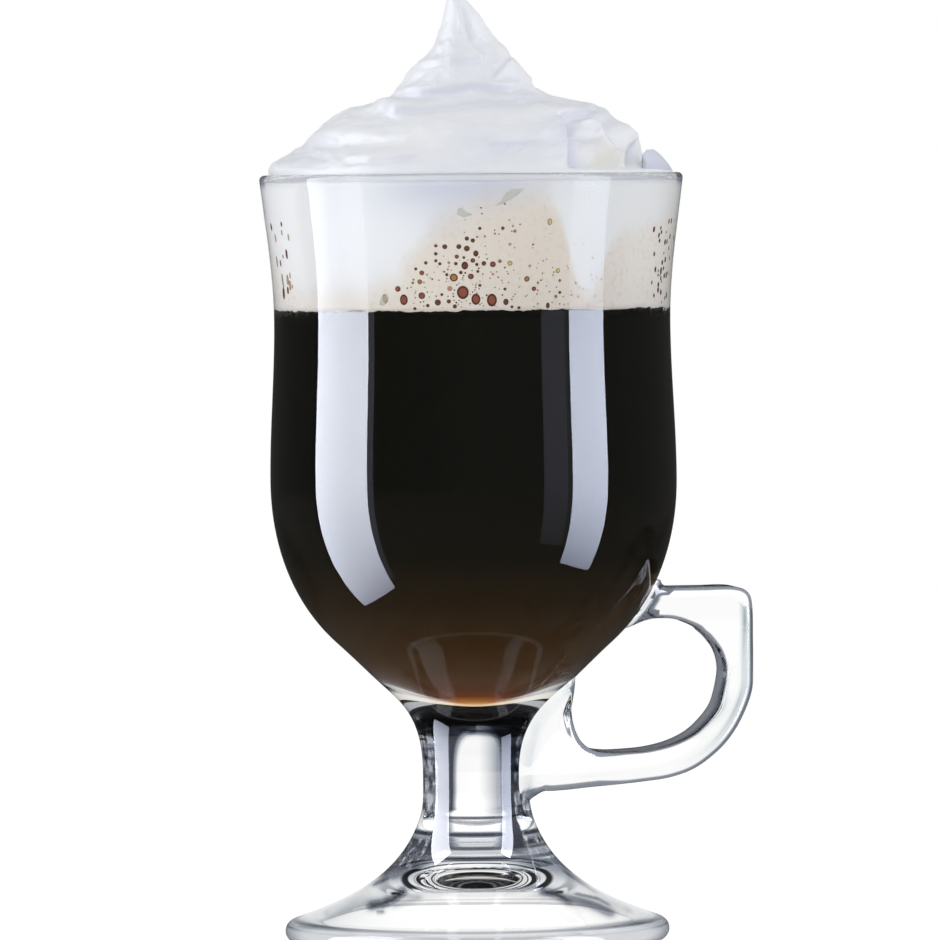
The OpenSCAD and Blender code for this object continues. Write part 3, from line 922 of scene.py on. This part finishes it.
def painted_warm_light(across, z, turn):
    """How much painted warm light the hollow has at a place of the crown."""
    x, level, wide, tall = PAINTED_WARM_HOLLOW
    return math.exp(-(((across - x) / wide) ** 2) - ((z - level) / tall) ** 2) if abs(turn) < 90 else 0.0


def lumps(place):
    """How far the lumps of the cream stand out at a place in millimetres."""
    return sum(size * noise.noise(place * waves + Vector(shift)) for size, waves, shift in CREAM_LUMPS)


def make_cream():
    z, r, lean = cream_rows()
    dr, dz = np.gradient(r), np.gradient(z)
    out_r, out_z = dz / np.hypot(dr, dz), -dr / np.hypot(dr, dz)
    turns = np.arange(CREAM_SIDES) * 360 / CREAM_SIDES - 180
    turn, height = np.meshgrid(turns, z)
    across = r[:, None] * np.sin(np.radians(turn)) + lean[:, None]
    relief, shade = cream_relief(turn, across, height)
    bm = bmesh.new()
    # Painted shade for the folds and painted warm light for the hollow, kept at each point
    deep = bm.verts.layers.float.new("painted_fold_shade")
    warm = bm.verts.layers.float.new("painted_warm_light")
    rings = [[bm.verts.new(round_axis(at, *spot)) for at in turns] for spot in CREAM_FLOOR]
    for j in range(CREAM_ROWS - 1):
        ring = []
        ease = share_between(z[j], FOLDS_FROM_Z, FOLDS_FROM_Z + FOLDS_OVER) * min(1.0, r[j] / PEAK_R)
        for i, at in enumerate(turns):
            d = (relief[j, i] + lumps(round_axis(at, r[j], z[j]) / MM)) * ease
            point = round_axis(at, max(PEAK_LEAST_R, r[j] + out_r[j] * d), z[j] + out_z[j] * d)
            v = bm.verts.new(point + round_axis(90, lean[j], 0))
            v[deep] = shade[j, i] * ease
            v[warm] = painted_warm_light(across[j, i], z[j], at)
            ring.append(v)
        rings.append(ring)
    close_rings(bm, rings)
    return finish_mesh("cream_crown", bm)


# The small lick of cream on the rim at the right: turn, top of its edge, and how far its foot stands in
CURL = [
    (60, 142.6, 3.6), (63, 143.6, 3.0), (68, 143.7, 2.2), (74, 142.9, 1.5), (80, 141.9, 1.0),
    (86, 140.9, 0.7), (90, 140.3, 0.6),
]
# How much painted shade the whole lick gets; then its radius, the height of its foot, its thickness and steps
CURL_SHADE, CURL_R, CURL_BASE_Z, CURL_THICK, CURL_RINGS, CURL_SIDES = 2.1, 36.2, 139.2, 0.42, 30, 20
# How far its middle bows out, how far its top leans in, and how much of the foot's standing in shows
CURL_BOW, CURL_LEAN, CURL_FOOT_SHARE, CURL_THINNER_SHARE = 0.54, 0.7, 0.35, 0.55


def curl_ring(step):
    """One section of the lick, as places round it."""
    turn = CURL[0][0] + (CURL[-1][0] - CURL[0][0]) * step / CURL_RINGS
    top, stand_in = along([c[:2] for c in CURL], turn), along([c[::2] for c in CURL], turn)
    ring = []
    for w in circle(CURL_SIDES):
        up = (1 + math.sin(w)) / 2
        out = CURL_BOW * math.sin(math.pi * up) - CURL_LEAN * up - CURL_FOOT_SHARE * stand_in * (1 - up) ** 2
        out += CURL_THICK * (1 - CURL_THINNER_SHARE * up) * math.cos(w)
        ring.append(round_axis(turn, CURL_R + out, CURL_BASE_Z + (top - CURL_BASE_Z) * up))
    return ring


def make_curl():
    piece = skin("cream_curl", [curl_ring(step) for step in range(CURL_RINGS + 1)])
    write_values(piece, ["painted_fold_shade"], lambda place: [CURL_SHADE])
    return piece


def cream_look():
    """White, with a painted cool shade deep in the folds and painted warm light in the hollow."""
    material, tree, shader = principled(
        "cream",
        Roughness=0.5,
        Subsurface_Weight=0.15,
        Subsurface_Radius=(1.0, 0.9, 0.8),
        Subsurface_Scale=0.0015,
        Specular_IOR_Level=0.15,
    )
    tone = ramp(texture(tree, 60, 3), [(0.3, (0.86, 0.875, 0.92)), (0.7, (0.92, 0.925, 0.94))])
    colour = blend_colours(value_of(tree, "painted_fold_shade") * 0.36, tone, (0.60, 0.62, 0.74))
    colour = blend_colours(value_of(tree, "painted_warm_light") * 0.8, colour, (0.93, 0.91, 0.83))
    plug(colour, shader.inputs["Base Color"])
    return material


cream_material = cream_look()
cream = make_cream()
curl = make_curl()
for piece in (cream, curl):
    piece.data.materials.append(cream_material)
    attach(piece, BODY)
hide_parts("whipped_cream")


# The foam under the cream: its white part lies above a line that climbs to the right, given as
# (how far to the right, height), and above a level height at the back; the two meet over this distance
# before and behind the axis
WHITE_LINE = [
    (-17.9, 115.6), (-12.7, 119.0), (-7.4, 126.0), (-3.8, 130.5), (0, 134.0), (8.7, 138.5), (16, 141.0),
]
BACK_WHITE_Z, FRONT_DEPTH = 128, 10
# Patches of the foam: how far to the right, height, half-sizes, and how much whiter, cooler or paler they are
WHITE_PATCHES = [
    (20.0, 128.0, 3.6, 24.0, 30.0),
    (28.0, 133.0, 10.0, 12.0, 16.0),
    (13.0, 135.0, 6.0, 4.0, 6.0),
    (-38.0, 124.0, 5.0, 14.0, -6.0),
]
# The cool patches are painted shade under the crown
PAINTED_SHADE_PATCHES = [
    (0.5, 138.4, 10.0, 4.6, 1.0),
    (-11.0, 137.6, 8.0, 4.6, 0.55),
    (12.0, 139.6, 8.0, 3.4, 0.4),
    (-5.0, 131.0, 5.0, 4.5, 0.22),
]
PALE_PATCHES = [(-33.0, 124.0, 8.0, 30.0, 0.55), (31.0, 124.0, 8.0, 30.0, 0.5)]
FOAM_VALUES = ("whiteness", "painted_cool_shade", "paleness")
RIGHT, TOWARD = round_axis(90, 1, 0) / MM, round_axis(0, 1, 0) / MM
FOAM_TOP_Z, FOAM_ROWS, FOAM_GRAIN = LIP_Z - 0.4, 30, 0.36
FOAM_TONES = [
    (0.0, (0.80, 0.74, 0.655)),
    (0.25, (0.82, 0.785, 0.73)),
    (0.5, (0.835, 0.83, 0.81)),
    (0.75, (0.86, 0.87, 0.87)),
    (1.0, (0.86, 0.88, 0.89)),
]


def patch_sum(patches, across, z):
    return sum(
        amount * math.exp(-(((across - x) / wide) ** 2) - ((z - height) / tall) ** 2)
        for x, height, wide, tall, amount in patches
    )


def foam_values(place):
    """How white and pale the foam is at a place, and how much painted cool shade it gets."""
    across, z = place.dot(RIGHT), place.z
    ahead = share_between(place.dot(TOWARD), -FRONT_DEPTH, FRONT_DEPTH)
    above = z - ahead * along(WHITE_LINE, across) - (1 - ahead) * BACK_WHITE_Z
    tables = (WHITE_PATCHES, PAINTED_SHADE_PATCHES, PALE_PATCHES)
    white, cool, pale = (patch_sum(patches, across, z) for patches in tables)
    return above + white, cool, pale


def make_foam():
    rows = [(inside(z) + WETTING, z) for z in np.linspace(COFFEE_Z, FOAM_TOP_Z, FOAM_ROWS)]
    piece = revolve("foam_layer", [(0, COFFEE_Z)] + rows + [(0, FOAM_TOP_Z)], DRINK_SIDES)
    write_values(piece, FOAM_VALUES, foam_values)
    wave_edge(piece)
    return piece


def foam_look():
    """Beige foam low down, white where cream has sunk in, and a painted cool shade under the crown."""
    material, tree, shader = principled("foam", Roughness=0.6, Specular_IOR_Level=0.0)
    white, cool, pale = (value_of(tree, name) for name in FOAM_VALUES)
    level = smooth_step(white + texture(tree, 160, 4) * 5.0 - 2.5, -2.0, 9.0)
    grain = smooth_step(texture(tree, 1100, 3), 0.50, 0.72) * (1 - level) * FOAM_GRAIN
    colour = blend_colours(pale, ramp(level, FOAM_TONES), (0.97, 0.955, 0.92))
    colour = blend_colours(grain, colour, (0.66, 0.60, 0.48))
    colour = blend_colours(cool * 0.85, colour, (0.60, 0.625, 0.70))
    plug(colour, shader.inputs["Base Color"])
    return material


foam = make_foam()
foam.data.materials.append(foam_look())
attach(foam, BODY)
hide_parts("milk_foam")


# Bubbles against the glass that the photograph shows: column and row, radius in millimetres, their tone
# where it isn't dark, and how upright they are where they aren't round
BUBBLES_SEEN = [
    (387, 298, 0.6, "grey", 1.5), (406, 299, 0.74, "red", 1.35), (424, 295, 0.62, "red"), (440, 302, 0.56),
    (452, 288, 0.46, "pink"), (465, 292, 1.06, "red", 1.15), (456, 277, 0.72, "amber"),
    (473, 276, 0.52, "red"), (478, 299, 0.8, "red", 1.3), (494, 300, 0.9, "red", 1.32),
    (508, 302, 0.48, "dark", 1.25), (467, 265, 0.6, "dark", 1.2), (486, 263, 0.42), (495, 264, 0.52, "red"),
    (502, 261, 0.32, "amber"), (512, 263, 0.45, "olive"), (478, 253, 0.47, "dark", 1.2), (469, 248, 0.52),
    (461, 246, 0.44), (447, 246, 0.45), (469, 238, 0.38), (475, 240, 0.38), (438, 245, 0.3),
    (438, 253, 0.32), (438, 260, 0.3), (442, 263, 0.3), (451, 262, 0.26, "pink"), (459, 256, 0.38, "red"),
    (458, 263, 0.32), (475, 260, 0.42, "red"), (479, 264, 0.3), (466, 257, 0.26), (463, 272, 0.32),
    (449, 274, 0.3), (480, 271, 0.28), (428, 262, 0.32), (424, 272, 0.44, "red"), (422, 281, 0.44, "amber"),
    (418, 268, 0.3), (415, 282, 0.24, "amber"), (400, 288, 0.52, "red"), (451, 301, 0.38), (457, 306, 0.38),
    (444, 294, 0.28), (430, 305, 0.32), (417, 308, 0.3), (482, 285, 0.28), (495, 274, 0.24, "pink"),
    (529, 279, 0.5, "amber"), (536, 289, 0.42, "red"), (540, 283, 0.22, "amber"), (507, 289, 0.28),
    (560, 271, 0.42, "olive", 1.1), (532, 266, 0.26, "olive"), (562, 281, 0.28, "amber"), (562, 293, 0.3),
    (558, 297, 0.3, "amber"), (550, 306, 0.36, "dark", 1.5), (482, 228, 0.3), (505, 228, 0.32),
    (517, 231, 0.28, "amber"), (512, 244, 0.28, "grey"), (552, 222, 0.46, "olive", 1.3), (514, 307, 0.28),
    (521, 308, 0.3), (487, 236, 0.22, "pink"), (515, 226, 0.22, "grey"),
]
# Gaps in the foam that show the glass: corners as column and row
GAPS_SEEN = [
    [(459, 214), (460, 208), (464, 207), (468, 211), (475, 214), (470, 216), (466, 217)],
    [(497, 206), (503, 201), (508, 193), (514, 189), (527, 188), (521, 194), (513, 199), (504, 204)],
    [(381, 304), (383, 296), (389, 293), (391, 298), (386, 305)],
]
# Thickness of a bubble, and its rings from the edge in, as a share of the radius and one of the thickness
BEAD_STAND, BEAD_SINK = 0.07, 0.1
BEAD_RINGS = [(1.0, -0.12), (0.90, 0.55), (0.66, 1.0), (0.36, 1.0)]
# How many of these rings are in the edge's tone, and from which radius on a bubble has more sides
BEAD_EDGE_RINGS, BIG_R, BIG_SIDES, SMALL_SIDES = 3, 0.3, 18, 10
# Rings of a gap from the edge in: share of its size and how far it stands out
GAP_RINGS = [(1.0, -0.1), (0.94, 0.05), (0.7, 0.06)]
# Radius of the inner wall at the foam, room between two bubbles, and the room left under the rim
FOAM_R, BUBBLE_ROOM, TOP_ROOM = 34, 0.1, 3
TONES = {
    "edge": (0.10, 0.045, 0.028),
    "dark": (0.15, 0.065, 0.042),
    "red": (0.28, 0.095, 0.065),
    "pink": (0.50, 0.26, 0.20),
    "amber": (0.40, 0.22, 0.08),
    "olive": (0.55, 0.50, 0.24),
    "grey": (0.42, 0.38, 0.32),
}
PALE_TONES = ("pink", "grey", "olive")
GAP_TONES = {"gap_edge": (0.45, 0.45, 0.38), "gap": (0.56, 0.57, 0.52)}


def seen_place(column, row):
    """How far to the right and how high a place of the photograph lies on the inner wall towards the eye."""
    near = 1 - inside(COFFEE_Z) * MM / DISTANCE
    z = (BASE_ROW - EYE_ROW) + (EYE_ROW - row) * near
    return (column - axis_column(row)) * near * PIXEL / MM, z * PIXEL / MM


def seen_turn(across, z):
    """Turn at which a point on the inner wall appears this far to the right, through the glass."""
    outer = float(np.interp(z, side_z, side_r))
    x = max(-0.98 * outer, min(0.98 * outer, across))
    bend = math.asin(x / outer) - math.asin(x / (GLASS_IOR * outer)) + math.asin(x / (GLASS_IOR * inside(z)))
    return math.degrees(bend)


def add_bubble(bm, turn, z, radius, upright, edge_index, heart_index):
    """A flat bead on the foam's skin, with a dark edge and a lighter heart."""
    rings = []
    for share, lift in BEAD_RINGS:
        ring = []
        for v in circle(BIG_SIDES if radius > BIG_R else SMALL_SIDES):
            across, up = radius * share * math.cos(v), radius * share * upright * math.sin(v)
            r = inside(z + up) + WETTING + BEAD_STAND * lift
            ring.append(bm.verts.new(round_axis(turn + math.degrees(across / r), r, z + up)))
        rings.append(ring)
    heart = bm.verts.new(round_axis(turn, inside(z) + WETTING + BEAD_STAND, z))
    back = bm.verts.new(round_axis(turn, inside(z) - BEAD_SINK, z))
    runs = [[back], *rings, [heart]]
    for k, (low, high) in enumerate(zip(runs, runs[1:])):
        for face in bridge(bm, low, high):
            face.material_index = edge_index if k < BEAD_EDGE_RINGS else heart_index


def make_bubbles():
    """The bubbles that the photograph shows, then small ones at random round them and at the back."""
    draw = random.Random(12)
    bm = bmesh.new()
    tones = list(TONES)
    placed = []

    def add(turn, z, radius, upright, tone):
        """Adds a bubble unless it would touch another one, the coffee or the rim."""
        for other, height, size in placed:
            gap = math.hypot(math.radians(turn_between(turn, other)) * FOAM_R, z - height)
            if gap < radius + size + BUBBLE_ROOM:
                return
        if not COFFEE_Z + radius * upright * 0.4 < z < RIM_Z - TOP_ROOM:
            return
        placed.append((turn, z, radius))
        edge = "amber" if tone in PALE_TONES else "edge"
        add_bubble(bm, turn, z, radius, upright, tones.index(edge), tones.index(tone))

    def add_seen(column, row, radius, tone="dark", upright=1.0):
        across, z = seen_place(column, row)
        add(seen_turn(across, z), z, radius, upright, tone)

    for bubble in BUBBLES_SEEN:
        add_seen(*bubble)
    # Fine ones in front, below the white part, and some of them to the right
    for _ in range(230):
        across = draw.gauss(-1.5, 5.0)
        z = COFFEE_Z + 0.6 + abs(draw.gauss(0, 7.0))
        if z < along(WHITE_LINE, across) - 1.0:
            radius = draw.uniform(0.09, 0.19)
            add(seen_turn(across, z), z, radius, 1.0, draw.choice(["dark", "dark", "pink", "amber"]))
    for _ in range(60):
        z = COFFEE_Z + 0.4 + abs(draw.gauss(0, 5.0))
        turn = seen_turn(draw.uniform(6, 24), z)
        add(turn, z, draw.uniform(0.08, 0.18), 1.0, draw.choice(["dark", "amber", "grey"]))
    # Large ones at the right and left edges, and all sizes round the back
    for _ in range(60):
        add(draw.gauss(73, 4), draw.uniform(116, 131), draw.uniform(0.2, 0.5), draw.uniform(1, 1.5), "dark")
    for _ in range(22):
        turn, z, radius = draw.gauss(-71, 3), draw.uniform(116, 131), draw.uniform(0.25, 0.6)
        add(turn, z, radius, draw.uniform(1.3, 2.2), draw.choice(["dark", "grey"]))
    for _ in range(420):
        turn = draw.uniform(95, 265)
        z = COFFEE_Z + 0.5 + abs(draw.gauss(0, 4.5))
        radius = 0.12 + 0.75 * draw.random() ** 4
        add(turn, z, radius, draw.uniform(1, 1.25), draw.choice(["dark", "red", "dark"]))
    piece = finish_mesh("foam_bubbles", bm)
    for tone, colour in TONES.items():
        add_plain(piece, "bubble_" + tone, colour, 0.3)
    return piece


def make_gaps():
    """Thin patches on the foam where it has left the glass, with a raised rim towards the eye."""
    bm = bmesh.new()
    for corners in GAPS_SEEN:
        places = [seen_place(column, row) for column, row in corners]
        middle = np.mean(places, axis=0)
        rings = []
        for share, lift in GAP_RINGS:
            ring = []
            for place in places:
                x, up = middle + (np.array(place) - middle) * share
                ring.append(bm.verts.new(round_axis(seen_turn(x, up), inside(up) + WETTING + lift, up)))
            rings.append(ring)
        bridge(bm, rings[0], rings[1])
        bm.faces.new(rings[0][::-1])
        for face in bridge(bm, rings[1], rings[2]) + [bm.faces.new(rings[2])]:
            face.material_index = 1
    piece = finish_mesh("foam_gaps", bm)
    for name, colour in GAP_TONES.items():
        add_plain(piece, name, colour, 0.5)
    return piece


def add_plain(piece, name, colour, roughness):
    """Adds a material of one colour, without gloss, to a piece."""
    piece.data.materials.append(
        principled(name, Base_Color=colour, Roughness=roughness, Specular_IOR_Level=0.0)[0]
    )


gaps = make_gaps()
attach(gaps, BODY)
bubbles = make_bubbles()
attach(bubbles, BODY)


def make_camera():
    a = math.radians(AZIMUTH)
    ahead = Vector((-math.sin(a), math.cos(a), 0))
    right = Vector((math.cos(a), math.sin(a), 0))
    target = Vector((0, 0, (BASE_ROW - PHOTO / 2) * PIXEL)) - right * AXIS_OFFSET * PIXEL
    place = -ahead * DISTANCE + Vector((0, 0, (BASE_ROW - EYE_ROW) * PIXEL)) - right * AXIS_OFFSET * PIXEL
    data = bpy.data.cameras.new("camera")
    camera = bpy.data.objects.new("camera", data)
    bpy.context.scene.collection.objects.link(camera)
    camera.location = place
    camera.rotation_euler = (target - place).to_track_quat("-Z", "Y").to_euler()
    camera.rotation_euler.rotate_axis("Z", math.radians(-ROLL))
    data.sensor_width = 36
    data.lens = data.sensor_width * DISTANCE / (PHOTO * PIXEL)
    data.clip_start = 0.01
    bpy.context.scene.camera = camera


make_camera()

# Light of the sky on what isn't glass: its strength low and high, towards where it is highest, how much
# stronger it is at the two sides, and its colour
SKY_LOW, SKY_HIGH, SKY_TOWARD, SKY_SIDES = 0.27, 0.53, (0.12, -0.56, 0.76), 0.88
SKY_COLOUR = (0.975, 0.985, 1.0)
SIDEWAYS = (math.cos(math.radians(AZIMUTH)), math.sin(math.radians(AZIMUTH)), 0)
# The white backdrop as it shows through the glass, greyer towards the far left
BACKDROP_LEFT = (-0.97, 0.1, 0.1)
BACKDROP_TONES = [
    (0.0, (1, 1, 1)),
    (0.12, (0.93, 0.95, 0.955)),
    (0.45, (0.50, 0.56, 0.60)),
    (0.8, (0.35, 0.38, 0.42)),
]
# What lies behind glass is lit a little more, to make up for what the glass keeps back
THROUGH_GLASS, THROUGH_COLOUR, MIRRORED_SKY = 1.17, (1.01, 1.0, 0.975), 0.04


def sky_share(tree, way):
    """How far a direction points a given way, from -1 to 1."""
    inputs = {0: add_node(tree, "TexCoord").outputs["Generated"], 1: Vector(way).normalized()}
    return Field(add_node(tree, "VectorMath", inputs, operation="DOT_PRODUCT").outputs["Value"])


def background(tree, strength, colour=(1, 1, 1)):
    return add_node(tree, "Background", {"Strength": strength, "Color": colour}).outputs[0]


def light_world():
    """A soft sky for what is lit, near black for what is mirrored, and white for the eye."""
    world = bpy.data.worlds.new("studio")
    bpy.context.scene.world = world
    world.use_nodes = True
    tree = world.node_tree
    tree.nodes.clear()
    level = (sky_share(tree, SKY_TOWARD) + 1) * ((SKY_HIGH - SKY_LOW) / 2) + SKY_LOW
    light = background(tree, level + abs(sky_share(tree, SIDEWAYS)) * SKY_SIDES, SKY_COLOUR)
    light = blend_shaders(ray(tree, "Is Glossy Ray"), light, background(tree, MIRRORED_SKY))
    backdrop = background(tree, 1.0, ramp(sky_share(tree, BACKDROP_LEFT), BACKDROP_TONES))
    lit_through = background(tree, THROUGH_GLASS, THROUGH_COLOUR)
    through = blend_shaders(ray(tree, "Diffuse Depth") > 0.5, backdrop, lit_through)
    light = blend_shaders(ray(tree, "Is Transmission Ray"), light, through)
    light = blend_shaders(ray(tree, "Is Camera Ray"), light, background(tree, 1.0))
    plug(light, add_node(tree, "OutputWorld").inputs["Surface"])


light_world()

# Tall soft lamps: name, azimuth from the camera's side, height of the middle, width and height, radiance
# and colour
LAMPS = [
    ("strip_left", -80.2, 0.28, (0.546, 2.05), 19.8, (0.88, 0.90, 0.975)),
    ("strip_left_rim", -60.0, 0.35, (0.075, 1.9), 1.0, (0.8, 0.83, 1.0)),
    ("strip_right", 68.4, 0.43, (0.334, 1.75), 20.0, (0.81, 0.85, 0.965)),
    ("strip_right_rim", 46.4, 0.5, (0.198, 1.6), 0.9, (0.8, 0.8, 1.0)),
    ("strip_right_seam", 54.8, 0.5, (0.045, 1.6), 0.4, (0.9, 1.0, 0.95)),
]
# How each fades towards its lower end
LAMP_FADE = [
    (0.0, (0.24, 0.25, 0.29)),
    (0.25, (0.62, 0.64, 0.69)),
    (0.5, (0.97, 0.98, 1.0)),
    (1.0, (1, 1, 1)),
]
LAMP_DISTANCE = 0.8


def softbox(name, azimuth, height, size, radiance, colour):
    """A tall soft light that is aimed at the mug and shows only where something mirrors it."""
    a = math.radians(AZIMUTH + azimuth)
    toward = Vector((math.sin(a), -math.cos(a), 0))
    data = bpy.data.lights.new(name, "AREA")
    data.shape = "RECTANGLE"
    data.size, data.size_y = size
    data.color = colour
    data.energy = radiance * math.pi * size[0] * size[1]
    data.use_nodes = True
    tree = data.node_tree
    place = add_node(tree, "NewGeometry").outputs["Parametric"]
    up = Field(add_node(tree, "SeparateXYZ", {0: place}).outputs["Y"])
    plug(ramp(up, LAMP_FADE), tree.nodes["Emission"].inputs["Color"])
    lamp = bpy.data.objects.new(name, data)
    bpy.context.scene.collection.objects.link(lamp)
    lamp.location = toward * LAMP_DISTANCE + Vector((0, 0, height))
    lamp.rotation_euler = toward.to_track_quat("Z", "Y").to_euler()
    lamp.visible_camera = False
    lamp.visible_transmission = False
    lamp.visible_diffuse = False


for lamp_row in LAMPS:
    softbox(*lamp_row)

# The floor: its radius in metres, how far under the foot it lies, and how much it glows to the eye and
# through glass, near the foot and further out
FLOOR_RADIUS, FLOOR_SIDES, FLOOR_DROP = 0.6, 96, 0.1 * MM
FLOOR_GLOW, FLOOR_GLOW_NEAR, FLOOR_GLOW_LOSS, FLOOR_WHITE = 1.12, 0.06, 0.14, 0.78
FLOOR_NEAR, FLOOR_FAR = 0.12, 0.35


def make_floor():
    bm = bmesh.new()
    bmesh.ops.create_circle(bm, cap_ends=True, segments=FLOOR_SIDES, radius=FLOOR_RADIUS)
    piece = finish_mesh("floor", bm)
    piece.location.z = -FLOOR_DROP
    return piece


def floor_look():
    """White to the eye, straight and through glass, with the shadows left in, and hidden from mirrors."""
    material, tree, shader = principled("floor", Base_Color=(0.85, 0.85, 0.85), Roughness=0.9)
    eye, through, glossy = (ray(tree, f"Is {kind} Ray") for kind in ("Camera", "Transmission", "Glossy"))
    far = smooth_step(object_radius(tree), FLOOR_NEAR, FLOOR_FAR)
    strength = (FLOOR_GLOW_NEAR - far * FLOOR_GLOW_LOSS) * through + FLOOR_GLOW
    surface = blend_shaders(highest(eye * FLOOR_WHITE, through), shader.outputs[0], glow(tree, strength))
    clear = add_node(tree, "BsdfTransparent").outputs[0]
    show(tree, blend_shaders(glossy - through, surface, clear))
    return material


floor = make_floor()
floor.data.materials.append(floor_look())

bpy.context.scene.view_settings.view_transform = "Standard"
